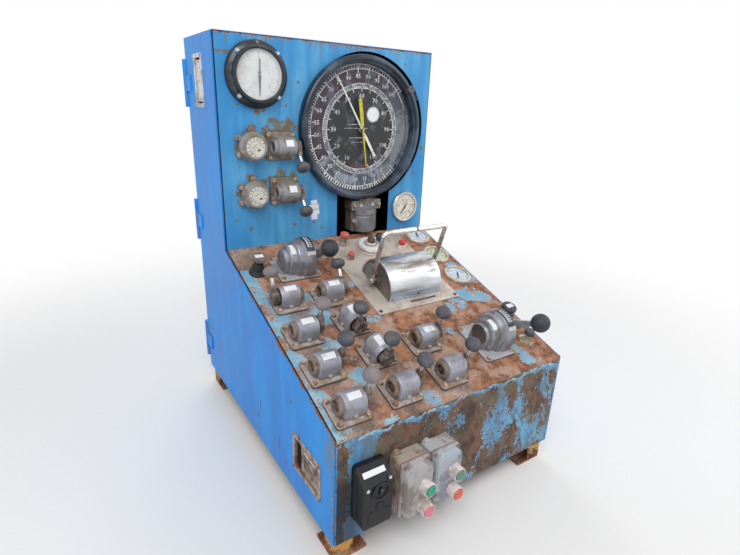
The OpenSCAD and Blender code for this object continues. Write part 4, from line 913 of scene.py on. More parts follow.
# Damper: a cast pot bolted under the indicator's case, with a neck, a cap block and a
# back plate. Years of dust lie on its top, and its bolts have rusted.
def casting(name, base, second, grime, lean, rough=0.5, metallic=0.2, scale=34.0, dust=None, reach=0.022):
    """A mottled casting darkened towards the surface it stands on by the grime colour, painted shade with
    some grime, which thins out by reach metres above that surface. The surface passes through the seam and
    leans by an angle from level. Dust, a colour, lies where the surface faces up."""
    made, tree, shader, where = new_material(name)
    finish = placed_group(tree, MOTTLED, where, {
        "Base": colour(*base), "Second": colour(*second), "Scale": scale, "Share": 0.4, "Rough": rough,
        "Grain": 350.0})
    square = Vector((0, -math.sin(lean), math.cos(lean)))
    seam = Vector((0, PANEL_Y, SEAM_Z)) * MM
    height = node(tree, "ShaderNodeVectorMath", {0: where, 1: square},
                  operation="DOT_PRODUCT").outputs["Value"]
    broken = times(tree, less(tree, noise(tree, where, 60.0, 6, 0.65), 0.5), 0.03)
    # Painted shade with some grime: the grime colour comes in near the foot of the casting.
    low = ramp(tree, total(tree, height, -seam.dot(square), broken), 0.004, reach, 0.85, 0.0)
    painted = mixed(tree, low, finish["Color"], colour(*grime))
    if dust:
        facing = node(tree, "ShaderNodeSeparateXYZ",
                      {0: node(tree, "ShaderNodeNewGeometry").outputs["Normal"]})
        lying = times(tree, ramp(tree, facing.outputs["Z"], 0.5, 0.95),
                      ramp(tree, noise(tree, where, 46.0, 6, 0.65), 0.36, 0.62, 0.25, 0.85))
        painted = mixed(tree, lying, painted, colour(*dust))
    tree.links.new(painted, shader.inputs["Base Color"])
    tree.links.new(finish["Roughness"], shader.inputs["Roughness"])
    shader.inputs["Metallic"].default_value = metallic
    bumped(tree, shader, finish["Height"], 0.22, 0.0006)
    return made


UPRIGHT = math.pi / 2
CAST_DAMPER = casting("Dusty grey casting", (128, 130, 138), (104, 101, 101), (98, 90, 80), UPRIGHT, 0.55,
                      0.15, 24.0, (138, 126, 98), 0.012)
DAMPER_X = 496
pot = [(0, 10), (36, 10), (41, 13), (44, 20), (44, 62), (41, 66), (41, 70), (44, 73), (44, 86), (42, 88),
       (0, 88)]
damper = [
    (slab(80, 52, 40, 4, 1.5), on_panel(DAMPER_X, 146, -40), CAST_DAMPER),
    (slab(118, 34, 54, 5, 2), on_panel(DAMPER_X, 104, -40), CAST_DAMPER),
    (slab(104, 78, 45, 6, 2), on_panel(DAMPER_X, 49, -45), CAST_DAMPER),
    (lathe(pot, 48), place_at((DAMPER_X + LEFT_X, PANEL_Y + 8, SEAM_Z), (1, 0, 0), (0, 0, 1)), CAST_DAMPER),
    (lathe([(0, 0), (8, 0), (8, 10), (6, 12), (6, 14), (0, 14)], 20), on_panel(DAMPER_X - 44, 49, -2),
     ZINC_BROWN),
    (slab(60, 10, 3, 2), on_panel(DAMPER_X, 120, 10), BOLT_RUST),
]
for x in (-48, 48):
    damper += bolt(on_panel(DAMPER_X + x, 104, 14), BOLT_RUST, 13, 6)
for x in (-24, 24):
    damper += bolt(on_panel(DAMPER_X + x, 104, 14), BOLT_BRIGHT, 8, 4)
build("damper_pot", damper, "console", ["damper"])

# Pressure gauge: a white dial behind a black turned flange, held by four studs with
# bright domed nuts, and a vent screw at the top.
GAUGE_X, GAUGE_Z = 120, 499
GAUGE_R = 90
GAUGE_BLACK = mottled("Chipped black flange", (24, 32, 42), (62, 66, 70), 0.40, 0.2, 30.0, 0.24, coat=0.25)
NEEDLE_GREY = mottled("Grey needle", (84, 90, 98), (112, 114, 118), 0.5, 0.0, 60.0, 0.3, bump=0.0)
DIAL_PALE = mottled("Aged white dial", (210, 213, 214), (190, 192, 192), 0.5, 0.0, 14.0, 0.4, bump=0.0,
                    coat=0.4)
MARK_GREY = mottled("Faded grey print", (150, 152, 156), (182, 184, 184), 0.5, 0.0, 60.0, 0.4, bump=0.0)
MARK_BLACK = mottled("Black dial print", (52, 54, 58), (84, 84, 84), 0.5, 0.0, 60.0, 0.3, bump=0.0)


def dress(name, parts, body="console"):
    """Build the piece that takes the place of the CAD node of this name, on the console or another body."""
    build(f"{name}_dressed", parts, body, [name])


gauge_place = on_panel(GAUGE_X, GAUGE_Z)
flange = [(GAUGE_R - 24, 26), (GAUGE_R - 24, 34), (GAUGE_R - 22, 36), (GAUGE_R - 17, 36), (GAUGE_R - 15, 33),
          (GAUGE_R - 14, 22), (GAUGE_R - 5, 18), (GAUGE_R - 1, 14), (GAUGE_R, 10), (GAUGE_R, 2),
          (GAUGE_R - 2, 0), (60, 0), (60, -40), (0, -40), (0, -36), (56, -36), (56, 26), (GAUGE_R - 24, 26)]
dial = shifted(gauge_place, z=28)
gauge = [
    (lathe(flange, 72), gauge_place, GAUGE_BLACK),
    (pin(GAUGE_R - 23, -2, 0, 60), dial, DIAL_PALE),
    (band(-140, 140, 59, 59.8, 0.2, 90), dial, MARK_GREY),
    (bars(np.arange(-140, 141, 7), 55, 59, 0.8, 0.2), dial, MARK_GREY),
    (bars(np.arange(-140, 141, 35), 51, 59, 1.4, 0.2), dial, MARK_GREY),
    (hand(56, 40, 1.2, 2.4, 1.0), shifted(dial, z=3, turn="Z", angle=-92), NEEDLE_GREY),
    (lathe([(0, 0), (4, 0), (3.4, 4), (0, 5)], 20), dial, MARK_GREY),
    (pin(4, 0, 8, 12), shifted(gauge_place, y=GAUGE_R - 8, z=16), BOLT_RUST),
]
gauge += numerals(range(0, 9), np.arange(-140, 141, 35), 43, 8, dial, MARK_GREY)
for angle in range(45, 360, 90):
    stud = around(gauge_place, angle, GAUGE_R - 9, 17)
    gauge += [(hexagon(12.5, 7), stud, BOLT_BRIGHT),
              (lathe([(0, 7), (5, 7), (5, 9), (3.6, 11.5), (0, 12.5)], 20), stud, BOLT_BRIGHT)]
dress("pressure_gauge", gauge)

# Regulators: two round cast air regulators with a stepped rim, ears with rusty nuts
# and a cream metal plate sunk in each face.
CREAM_PLATE = mottled("Cream metal plate", (206, 203, 192), (164, 159, 147), 0.5, 0.0, 60.0, 0.35, bump=0.05)
CAST_BROWN = casting("Browned casting", (144, 144, 148), (126, 112, 98), (112, 98, 76), UPRIGHT, 0.55, 0.2,
                     34.0, (148, 136, 108), 0.014)
REGULATOR_R = 42
rim = [(0, 0), (REGULATOR_R - 6, 0), (REGULATOR_R - 6, 14), (REGULATOR_R - 2, 16), (REGULATOR_R, 20),
       (REGULATOR_R, 28), (REGULATOR_R - 2, 32), (REGULATOR_R - 5, 36), (REGULATOR_R - 7, 43),
       (REGULATOR_R - 9, 46), (REGULATOR_R - 13, 46), (REGULATOR_R - 13, 44), (0, 44)]
regulators = []
for x, z, turn_by, plate_turn in ((95, 306, 0, 40), (95, 167, 12, 20)):
    place = on_panel(x, z)
    regulators += [
        (lathe(rim, 56), place, CAST_BROWN),
        (pin(REGULATOR_R - 14, 43.5, 45, 40), place,
         CREAM_PLATE),
        (bars(np.arange(-130, 131, 26), 21, 26, 2.2, 0.4), shifted(place, z=45, turn="Z", angle=plate_turn),
         NEEDLE_GREY),
        (band(-130, 130, 17, 18.6, 0.4), shifted(place, z=45, turn="Z", angle=plate_turn), MARK_GREY),
        (slab(9, 5, 0.5, 1, 0.1), shifted(place, 9, -8, 45, "Z", plate_turn), MARK_BLACK),
        (slab(20, 2.4, 0.5, 1, 0.1), shifted(place, -3, 4, 45, "Z", plate_turn), MARK_GREY),
    ]
    for ear in (88, 148, 212):
        regulators.append((slab(30, 18, 12, 8, 1.5), around(place, ear, REGULATOR_R - 4), CAST_BROWN))
        regulators += bolt(around(place, ear, REGULATOR_R + 2, 12), BOLT_RUST, 11, 6)
    for ear in range(0, 360, 60):
        spoke = around(place, ear + 20 + turn_by, REGULATOR_R - 7, 34)
        regulators.append((lathe([(0, 0), (4, 0), (4, 3), (2.5, 4.5), (0, 4.5)], 14), spoke, BOLT_RUST))
dress("regulators", regulators)

# Lever valves: cast bodies on square flanges, each with a half-round barrel, a plugged
# port at one end and a lever at the other. A rubber gasket shows under each flange.
VALVE_CAST = casting("Grey valve casting", (154, 157, 169), (138, 134, 136), (122, 102, 88), SLOPE, 0.42, 0.3,
                     24.0, None, 0.024)
FLANGE_CAST = casting("Dusty valve flange", (168, 164, 164), (146, 126, 110), (146, 118, 98), SLOPE, 0.6, 0.1,
                      38.0, None, 0.008)
BOSS_CAST = casting("Browned port boss", (132, 118, 108), (104, 84, 72), (112, 86, 68), SLOPE, 0.6, 0.15,
                    50.0, None, 0.02)
PORT_RUST = mottled("Rusty port plug", (98, 74, 62), (60, 48, 44), 0.85, 0.1, 90.0, 0.5, 300.0, 0.4)
BLACK_RUBBER = mottled("Black rubber", (26, 27, 31), (50, 47, 46), 0.6, 0.0, 40.0, 0.3)
HUB_CAST = mottled("Dirty hub casting", (132, 122, 116), (92, 78, 70), 0.55, 0.25, 60.0, 0.5, 300.0, 0.35)
ROD_CHROME = mottled("Chromed rod", (210, 212, 216), (160, 152, 144), 0.18, 0.95, 50.0, 0.3, bump=0.05)
KNOB_DARK = mottled("Weathered phenolic knob", (68, 71, 79), (98, 94, 95), 0.6, 0.0, 36.0, 0.4, 300.0, 0.1)
KNOB_PALE = mottled("Bleached phenolic knob", (118, 114, 120), (140, 126, 120), 0.65, 0.0, 36.0, 0.4, 300.0,
                    0.1)
FLANGE_W, FLANGE_L, FLANGE_UP = 92, 84, 8
GASKET_UP = 1.4
SHAFT_UP = 31
BARREL_R = 28
BARREL = (-25, 32)
HUB, HUB_R = (32.5, 51), 19
ROD_R = 5
KNOB_ACROSS, KNOB_HIGH = 42, 30


def on_desk(x, s, up=0):
    """Place on the desk, from the cabinet's left edge and s down the slope: x right, y up the slope, z off
    the plate."""
    c, n = math.cos(SLOPE), math.sin(SLOPE)
    origin = (x + LEFT_X, PANEL_Y - s * c - up * n, SEAM_Z - s * n + up * c)
    return place_at(origin, (1, 0, 0), (0, -n, c))


def arches(stations, height, foot, flare=0.0, steps=26):
    """A body along x through (x, radius) stations. Each is a half circle of that radius round a height,
    on straight legs down to foot that spread by flare at their ends."""
    turn = np.linspace(0, math.pi, steps)
    rings = []
    for x, radius in stations:
        over = np.stack([radius * np.cos(turn), height + radius * np.sin(turn)], -1)
        outline = np.vstack([[(radius + flare, foot), (radius, foot + 9)], over,
                             [(-radius, foot + 9), (-radius - flare, foot)]])
        rings.append(np.column_stack([np.full(len(outline), x), outline]))
    return loft(rings)


def curved_tag(width, length, radius, thick, steps=9):
    """A plate bent round a shaft along x, its middle straight above the shaft."""
    half = length / radius / 2
    turn = np.linspace(-half, half, steps)
    low = np.stack([radius * np.sin(turn), radius * np.cos(turn)], -1)
    high = low * (radius + thick) / radius
    outline = np.vstack([low, high[::-1]])
    return loft([np.column_stack([np.full(len(outline), x), outline]) for x in (-width / 2, width / 2)])


ALONG_X = place_at((0, 0, 0), (0, 0, -1), (1, 0, 0))


def corners(place, x, y, z):
    """The four places at the corners of a rectangle, x and y from its middle and z above it."""
    return [shifted(place, aside * x, along * y, z) for aside in (-1, 1) for along in (-1, 1)]


def valve_parts(place, finishes, tag=None):
    """One valve body on its flange, in its (barrel, flange, boss) finishes, as parts. tag is (width,
    length, place along the barrel, lean in degrees) of a plate bent round it."""
    cast, flange_cast, boss_cast = finishes
    axis = shifted(place, z=SHAFT_UP) @ ALONG_X
    x0, x1 = BARREL
    boss = [(13.5, x0 - 6), (14.5, x0 - 11), (20, x0 - 11), (22, x0 - 9), (22, x0 + 1), (13.5, x0 + 1),
            (13.5, x0 - 6)]
    parts = [
        (slab(FLANGE_W + 1, FLANGE_L + 1, GASKET_UP, 9, 0.3), place, BLACK_RUBBER),
        (slab(FLANGE_W, FLANGE_L, FLANGE_UP - GASKET_UP, 9, 1.2), shifted(place, z=GASKET_UP), flange_cast),
        (arches([(x0, BARREL_R - 5), (x0 + 1.2, BARREL_R - 1.6), (x0 + 3.5, BARREL_R), (x1 - 2.5, BARREL_R),
                 (x1 - 0.7, BARREL_R - 0.8), (x1, BARREL_R - 3)], SHAFT_UP, 7, 3), place, cast),
        (lathe(boss, 36), axis, boss_cast),
        (arches([(x0 - 5.5, 17), (x0 - 4.5, 19), (x0 + 2, 19)], SHAFT_UP - 6, 7, 2), place, boss_cast),
        (lathe([(0, x0 - 5), (13.5, x0 - 5), (13.5, x0 - 6), (0, x0 - 6.2)], 36), axis, PORT_RUST),
        (hexagon(15, -3.4), shifted(axis, z=x0 - 6), PORT_RUST),
        (lathe([(19, x1 - 0.5), (25, x1 - 0.5), (25, x1 + 1.0), (19, x1 + 1.0), (19, x1 - 0.5)], 36), axis,
         BLACK_RUBBER),
        (slab(10, 8, 10, 3, 1), shifted(place, 4, -30, 7), flange_cast),
    ]
    for corner in corners(place, 37, 33, FLANGE_UP):
        parts += bolt(corner, BOLT_RUST)
    if tag:
        width, length, along, lean = tag
        top = shifted(place, along, 0, SHAFT_UP, "X", lean)
        parts.append((curved_tag(width, length, BARREL_R + 0.3, 1.2), top, WHITE_TAG))
    return parts


def flat_knob(diameter, height, steps=17):
    """A knob like a flattened ball: half of a superellipse turned about z."""
    turn = np.linspace(-math.pi / 2, math.pi / 2, steps)
    r = diameter / 2 * np.abs(np.cos(turn)) ** 0.86
    h = height / 2 * np.sign(np.sin(turn)) * np.abs(np.sin(turn)) ** 0.92
    r[[0, -1]] = 0
    return lathe(np.stack([r, h], -1), 36)


def lever_parts(place, knob, length=70.0):
    """Grooved hub, socket block, chromed rod and knob of a lever whose shaft is at the place, as parts."""
    axis = place @ ALONG_X
    x0, x1 = HUB
    ring = (x1 - x0) / 3
    grooves = [(HUB_R - depth, x0 + i * ring + at) for i in range(3)
               for depth, at in ((3, 0), (0.4, 0.5), (0, 1.2), (0, ring - 1.6), (0.4, ring - 1),
                                 (3, ring - 0.5))]
    middle = (x0 + x1) / 2
    blocks = [ring_of(round_corners(w, d, r), z)
              for w, d, r, z in ((17, 22, 4, 2), (17, 22, 4, 20), (15, 18, 5, 27), (13, 13, 6, 33))]
    return [
        (lathe([(0, 8), (6, 8), (6, x0), *grooves, (16, x1), (9, x1), (8, x1 - 2), (0, x1 - 2)], 36), axis,
         HUB_CAST),
        (loft(blocks), shifted(place, x=middle), HUB_CAST),
        (pin(ROD_R, 30, length - 13, 20), shifted(place, x=middle), ROD_CHROME),
        (lathe([(0, 0), (7, 0), (8.5, 5), (0, 5)], 24), shifted(place, x=middle, z=length - 17), knob),
        (flat_knob(KNOB_ACROSS, KNOB_HIGH), shifted(place, x=middle, z=length), knob),
    ]


# Each desk valve: side of its lever, turn about the desk's normal, lean of its lever.
VALVE_TURNS = [(-1, 0, -36), (1, 0, -48), (1, 0, 0), (1, -90, 10), (1, -90, 4), (1, 0, 3), (1, 0, -1),
               (1, 0, 3), (1, 0, 0), (1, 0, 4)]
UNTAGGED = (8, 10)
BLEACHED = (1, 3, 7)
DESK_TAG = (34, 17, 3, 12)
PANEL_VALVES = [(187, 305, 54), (195, 171, 53)]
PANEL_TAG = (24, 20, 8, -26)
MIRROR_X = np.diag([-1.0, 1.0, 1.0, 1.0])


def valve_place(x, s, side, turn_by):
    """Place of a desk valve: turned about the desk's normal, and mirrored where its lever is at the left."""
    place = shifted(on_desk(x, s), turn="Z", angle=turn_by)
    return place @ MIRROR_X if side < 0 else place


bodies = []
for number, (spot, (side, turn_by, lean)) in enumerate(zip(VALVE_SPOTS, VALVE_TURNS), 1):
    place = valve_place(*spot, side, turn_by)
    tag = None if number in UNTAGGED else DESK_TAG
    bodies += valve_parts(place, (VALVE_CAST, FLANGE_CAST, BOSS_CAST), tag)
    lever = shifted(place, z=SHAFT_UP, turn="X", angle=lean)
    name = f"desk_lever_{number}"
    knob = KNOB_PALE if number in BLEACHED else KNOB_DARK
    dress(name, lever_parts(lever, knob), name)
build("desk_valves_dressed", bodies, "console", ["desk_valve_bodies"])
bodies = []
for number, (x, z, lean) in enumerate(PANEL_VALVES, 1):
    place = on_panel(x, z)
    bodies += valve_parts(place, (CAST_BROWN, CAST_BROWN, CAST_BROWN), PANEL_TAG)
    lever = shifted(place, z=SHAFT_UP, turn="X", angle=lean)
    name = f"panel_lever_{number}"
    dress(name, lever_parts(lever, KNOB_DARK), name)
build("panel_valves_dressed", bodies, "console", ["panel_valve_bodies"])

# Dome controllers: larger cast valves whose bodies step up like a bell from a dished end
# cap to a broad drum. A curved index plate faces a flat bright lever with a ball.
CONTROLLER_CAST = casting("Satin controller casting", (146, 149, 159), (122, 118, 119), (120, 104, 94), SLOPE,
                          0.30, 0.4, 18.0, None, 0.03)
CONTROLLER_PLATE = mottled("Bright controller flange", (180, 184, 190), (152, 146, 146), 0.4, 0.3, 24.0, 0.4)
CAP_DARK = mottled("Dark end cap", (66, 64, 66), (96, 84, 76), 0.5, 0.2, 40.0, 0.45)
INDEX_DARK = mottled("Index plate enamel", (24, 40, 56), (46, 58, 70), 0.35, 0.1, 40.0, 0.3, coat=0.3)
BALL_BLACK = mottled("Weathered black ball", (38, 42, 51), (60, 62, 69), 0.55, 0.0, 40.0, 0.35, 300.0, 0.06)
ARM_BRIGHT = mottled("Bright steel arm", (184, 190, 198), (140, 138, 140), 0.36, 0.5, 40.0, 0.4)
DISH_GREY = mottled("Grey end cap", (128, 130, 140), (100, 96, 96), 0.4, 0.35, 30.0, 0.4)
# Each controller: x, s, flange's width and length, reach of its shaft, length and lean of its lever, end cap.
CONTROLLERS = [(170, 133, 130, 116, 62, 96, 45, DISH_GREY), (562, 592, 114, 140, 76, 108, 46, CAP_DARK)]
DOME_UP = 42
INDEX_R, INDEX_THICK = 57.2, 1.2
BALL_R = 26
ARM_OUT = 4
DOME_STEPS = [(-47, 26), (-46.6, 28), (-45.5, 29.6), (-44, 30.8), (-42.5, 31), (-35, 31), (-34.6, 35),
              (-33.6, 38), (-32, 39.6), (-30, 40), (-14, 40.4), (-12, 42), (-11.4, 46), (-10.4, 48.6),
              (-8.6, 49.8), (-6, 50), (5, 50.4), (6.4, 52), (7.4, 55), (9.2, 56.7), (12, 57), (38, 57),
              (41, 55.5), (42, 52)]


def sphere(radius, steps=25, round_steps=44):
    """A half circle turned about z."""
    turn = np.linspace(-math.pi / 2, math.pi / 2, steps)
    return lathe(np.stack([radius * np.abs(np.cos(turn)).round(9), radius * np.sin(turn)], -1), round_steps)


bodies = []
for number, (x, s, wide, long, reach, length, lean, dish) in enumerate(CONTROLLERS, 1):
    place = on_desk(x, s)
    axis = shifted(place, z=DOME_UP) @ ALONG_X
    bodies += [
        (slab(wide + 0.6, long + 0.6, 1.2, 8, 0.3), place, BLACK_RUBBER),
        (slab(wide, long, 6.8, 8, 1.2), shifted(place, z=1.2), CONTROLLER_PLATE),
        (arches(DOME_STEPS, DOME_UP, 7), place, CONTROLLER_CAST),
        (lathe([(22, -47.4), (22.6, -48.6), (27, -48.6), (28.4, -46.8), (22, -46.8), (22, -47.4)], 40), axis,
         dish),
        (lathe([(0, -47.6), (22.4, -47.8), (22.4, -46.9), (0, -46.9)], 40), axis, dish),
        (lathe([(0, 41), (24, 41), (24, 47), (22, 49), (0, 49)], 36), axis, CONTROLLER_CAST),
        (curved_tag(26, 66, INDEX_R, INDEX_THICK, 17), shifted(place, 25, 0, DOME_UP, "X", 6), INDEX_DARK),
        (curved_tag(3, 44, INDEX_R + INDEX_THICK, 0.4, 17), shifted(place, 20, 0, DOME_UP, "X", 6),
         WHITE_TAG),
        (curved_tag(26, 10, INDEX_R, INDEX_THICK), shifted(place, 25, 0, DOME_UP, "X", 48), CREAM_PLATE),
        (curved_tag(14, 36, 40.5, INDEX_THICK), shifted(place, -22, 0, DOME_UP, "X", 14), WHITE_TAG),
    ]
    for mark in range(-3, 4):
        mark_place = shifted(place, x=28, z=DOME_UP, turn="X", angle=6 + mark * 7)
        bodies.append((curved_tag(8, 1.8, INDEX_R + INDEX_THICK, 0.4, 3), mark_place, WHITE_TAG))
    for corner in corners(place, wide / 2 - 9, long / 2 - 9, FLANGE_UP):
        bodies += bolt(corner, BOLT_RUST)
    shaft = shifted(place, z=DOME_UP, turn="X", angle=lean)
    arm_top = length - 30
    arm = loft([ring_of(round_corners(8, w, 2), z)
                for w, z in ((24, -11), (28, -6), (28, arm_top / 3), (16, arm_top - 2), (14, arm_top))])
    name = f"dome_lever_{number}"
    dress(name, [
        (lathe([(0, 30), (8, 30), (8, 52), (15, 52), (16, 54), (16, reach - 1), (0, reach - 1)], 28),
         shaft @ ALONG_X, CAP_DARK),
        (arm, shifted(shaft, x=reach + ARM_OUT), ARM_BRIGHT),
        (hexagon(16, 5), shifted(shaft, x=reach + 7, turn="Y", angle=90), BOLT_BRIGHT),
        (pin(5, arm_top - 8, length - 20, 20),
         shifted(shaft, x=reach + ARM_OUT), ROD_CHROME),
        (sphere(BALL_R), shifted(shaft, x=reach + ARM_OUT, z=length), BALL_BLACK),
    ], name)
build("controllers_dressed", bodies, "console", ["dome_controllers"])

# Control plate and hood: a satin aluminium plate screwed to the desk, with a rolled
# hood of brushed stainless steel over the twin levers' shafts. Its front is a flat band.
PLATE_ALU = mottled("Satin aluminium plate", (204, 194, 184), (170, 158, 148), 0.42, 0.3, 10.0, 0.4, 300.0,
                    0.08)
HOOD_X, HOOD_S = 465, 284
HOOD_R, HOOD_WIDE = 85, 190
HOOD_FRONT, HOOD_WALL = 80, 4
PLATE_UP = 4


def brushed(name, base, streak, rough=0.22, along=(2, 60, 60), smear_and_reflection=None, metallic=0.9):
    """Stainless steel brushed along x: noise drawn out that way drives the colour and the roughness. Dark
    smears, painted reflection and dirt in one colour, lie in patches that are drawn out the same way."""
    made, tree, shader, where = new_material(name)
    lines = noise(tree, scaled(tree, where, along), 6.0, 6, 0.7)
    clouds = noise(tree, where, 14.0, 5)
    both = total(tree, times(tree, lines, 0.6), times(tree, clouds, 0.4))
    tone = mixed(tree, ramp(tree, both, 0.36, 0.64), colour(*streak), colour(*base))
    if smear_and_reflection:
        patches = noise(tree, scaled(tree, where, (7, 30, 30)), 1.0, 6, 0.62)
        tone = mixed(tree, ramp(tree, patches, 0.5, 0.66, 0.0, 0.8), tone, colour(*smear_and_reflection))
    tree.links.new(tone, shader.inputs["Base Color"])
    tree.links.new(ramp(tree, both, 0.35, 0.65, rough + 0.14, rough), shader.inputs["Roughness"])
    shader.inputs["Metallic"].default_value = metallic
    bumped(tree, shader, lines, 0.08, 0.0004)
    return made


# The hood's dark smears are painted reflections as well as dirt.
HOOD_STEEL = brushed("Brushed hood steel", (228, 230, 232), (176, 180, 186), 0.24, smear_and_reflection=(120, 110, 98))
# The band's bluish tint is a painted reflection of the sky.
BAND_STEEL = brushed("Bluish band steel", (196, 212, 228), (150, 168, 186), 0.34, metallic=0.6)
# The hood's end cheeks are a darker copy of its steel: painted shade.
SHADED_END_STEEL = brushed("End steel in painted shade", (152, 150, 146), (112, 106, 98), 0.4, (40, 40, 4))
plate_place = on_desk(467, 216)
plate_parts = [(slab(306, 370, 4, 5, 0.8), plate_place, PLATE_ALU)]
screw = lathe([(0, 0), (6, 0), (5, 2), (0, 2.6)], 20)
plate_parts += [(screw, corner, CAP_DARK) for corner in corners(plate_place, 142, 174, PLATE_UP)]
plate_parts.append((slab(96, 7, 0.6, 1, 0.1), shifted(plate_place, 22, -163, PLATE_UP), CAP_DARK))
dress("control_plate", plate_parts)


def along_x(outline, xs):
    """A (y, z) outline carried along x."""
    return loft([np.column_stack([np.full(len(outline), x), outline]) for x in xs])


hood_place = on_desk(HOOD_X, HOOD_S, PLATE_UP)
half = HOOD_WIDE / 2
band_top = math.sqrt(HOOD_R ** 2 - HOOD_FRONT ** 2)
turn = np.linspace(0, math.pi - math.asin(band_top / HOOD_R), 40)
circle = np.stack([np.cos(turn), np.sin(turn)], -1)
section = [(-half, HOOD_R), (half, HOOD_R), (half, HOOD_R - HOOD_WALL), (-half, HOOD_R - HOOD_WALL)]
shell = loft(np.stack([np.column_stack([np.full(len(circle), x), circle * r]) for x, r in section], 1))
cheek = np.vstack([circle * (HOOD_R - 0.6), [(-HOOD_FRONT + 0.6, 0)]])
front = shifted(hood_place, 0, -HOOD_FRONT, band_top / 2, "X", 90)
hood = [(shell, hood_place, HOOD_STEEL),
        (along_x(cheek, (-half + 0.6, -half + 4)), hood_place, SHADED_END_STEEL),
        (along_x(cheek, (half - 4, half - 0.6)), hood_place, SHADED_END_STEEL),
        (slab(HOOD_WIDE, band_top + 1.5, 2.5, 1, 0.5), shifted(front, z=-2.0), BAND_STEEL),
        (pin(4, 0, 0.9, 20), shifted(front, 10), BLACK_RUBBER)]
for x in (-86, -40, 86):
    hood.append((lathe([(0, 0), (3, 0), (2, 1.8), (0, 2)], 14), shifted(front, x, -6), BOLT_RUST))
cover = [(0, -half), (30, -half), (30, -half - 4), (28, -half - 6), (0, -half - 6)]
hood.append((lathe(cover, 48), shifted(hood_place, y=28, z=32) @ ALONG_X, CAST_DAMPER))
for side in (-1, 1):
    bearing = [(7.2, side * (half - 14)), (18, side * (half - 14)), (18, side * (half + 4)),
               (16, side * (half + 6)), (7.2, side * (half + 6)), (7.2, side * (half - 14))]
    hood.append((lathe(bearing, 32), shifted(hood_place, z=28) @ ALONG_X, CAP_DARK))
dress("lever_hood", hood)

# Twin levers: two L-shaped bars of bright round steel. Each arm stands on its own
# bearing at one end of the hood, and the two hand bars meet over its middle.
BAR_BRIGHT = mottled("Worn bright bar", (232, 230, 228), (196, 184, 172), 0.22, 0.9, 26.0, 0.3, bump=0.04)
ARM_PATINA = mottled("Browned bright arm", (200, 192, 184), (150, 132, 116), 0.3, 0.8, 40.0, 0.42, bump=0.06)
TWIN_UP, TWIN_LONG, TWIN_REACH = 28, 166, 114
ELBOW_R, BAR_R, GRIP_R, BAR_GAP = 12, 7, 8, 7


def tube(path, radius, steps=24):
    """A round bar along a path in the x-z plane: circles of the radius square to it, one number or one a
    point."""
    path = np.asarray(path, float)
    ahead = np.gradient(path, axis=0)
    ahead /= np.linalg.norm(ahead, axis=1)[:, None]
    side = np.array([0.0, 1.0, 0.0])
    other = np.cross(ahead, side)
    turn = np.linspace(0, 2 * math.pi, steps, endpoint=False)
    circle = np.cos(turn)[None, :, None] * side + np.sin(turn)[None, :, None] * other[:, None]
    return loft(path[:, None] + circle * np.broadcast_to(radius, len(path))[:, None, None])


pivot = shifted(hood_place, z=TWIN_UP)
for side, name in ((-1, "twin_lever_left"), (1, "twin_lever_right")):
    turn = np.linspace(0, math.pi / 2, 9)
    bend_x = side * (TWIN_REACH - ELBOW_R + ELBOW_R * np.cos(turn))
    bend = np.stack([bend_x, 0 * turn, TWIN_LONG - ELBOW_R + ELBOW_R * np.sin(turn)], -1)
    arm = [(side * TWIN_REACH, 0, 0), (side * TWIN_REACH, 0, 60), (side * TWIN_REACH, 0, 130)]
    grip_from, grip_to = TWIN_REACH - ELBOW_R - BAR_GAP, BAR_GAP / 2
    grip_x = np.array([grip_from, grip_from - 1, (grip_from + grip_to) / 2, grip_to + 1.5, grip_to])
    grip = np.stack([side * grip_x, 0 * grip_x, np.full(5, TWIN_LONG)], -1)
    hub = [(0, 82), (7, 82), (7, TWIN_REACH), (0, TWIN_REACH)]
    dress(name, [
        (tube(arm, BAR_R), pivot, ARM_PATINA),
        (tube(np.vstack([arm[-1:], bend, [(side * grip_from, 0, TWIN_LONG)]]), BAR_R), pivot, BAR_BRIGHT),
        (tube(grip, [BAR_R, GRIP_R, GRIP_R, GRIP_R, GRIP_R - 1.5]), pivot, BAR_BRIGHT),
        (lathe([(r, side * h) for r, h in hub], 28), pivot @ ALONG_X, ARM_PATINA),
        (sphere(10), shifted(pivot, side * TWIN_REACH), ARM_PATINA),
    ], name)

# Rotary control: a turned flange with a white index ring, a grey hub and a short arm
# with a black ball that the fingers swing.
ROTARY_X, ROTARY_S = 460, 97
rotary_place = on_desk(ROTARY_X, ROTARY_S, PLATE_UP)
flange = [(0, 0), (44, 0), (44, 4), (42, 6.7), (42, 10), (44, 13), (44, 16), (40, 20), (19, 20), (19, 28),
          (17, 30), (0, 30)]
ring = [(24, 19.8), (38, 19.8), (38, 20.6), (24, 20.6), (24, 19.8)]
rotary = [(lathe(flange, 56), rotary_place, PLATE_ALU),
          (lathe(ring, 56), rotary_place, WHITE_TAG),
          (bars(np.arange(-150, 151, 25), 27, 35, 1.4, 0.3), shifted(rotary_place, z=20.6), MARK_BLACK)]
dress("rotary_base", rotary)
arm_place = shifted(shifted(rotary_place, z=37, turn="Z", angle=-8), turn="Y", angle=74)
dress("rotary_lever", [
    (lathe([(0, 10), (6, 10), (6, 31), (13, 31), (13, 41), (11, 43), (0, 43)], 28), rotary_place, CAP_DARK),
    (pin(4.6, 0, 20, 18), arm_place, ROD_CHROME),
    (sphere(15, 19, 32), shifted(arm_place, z=30), BALL_BLACK),
], "rotary_lever")

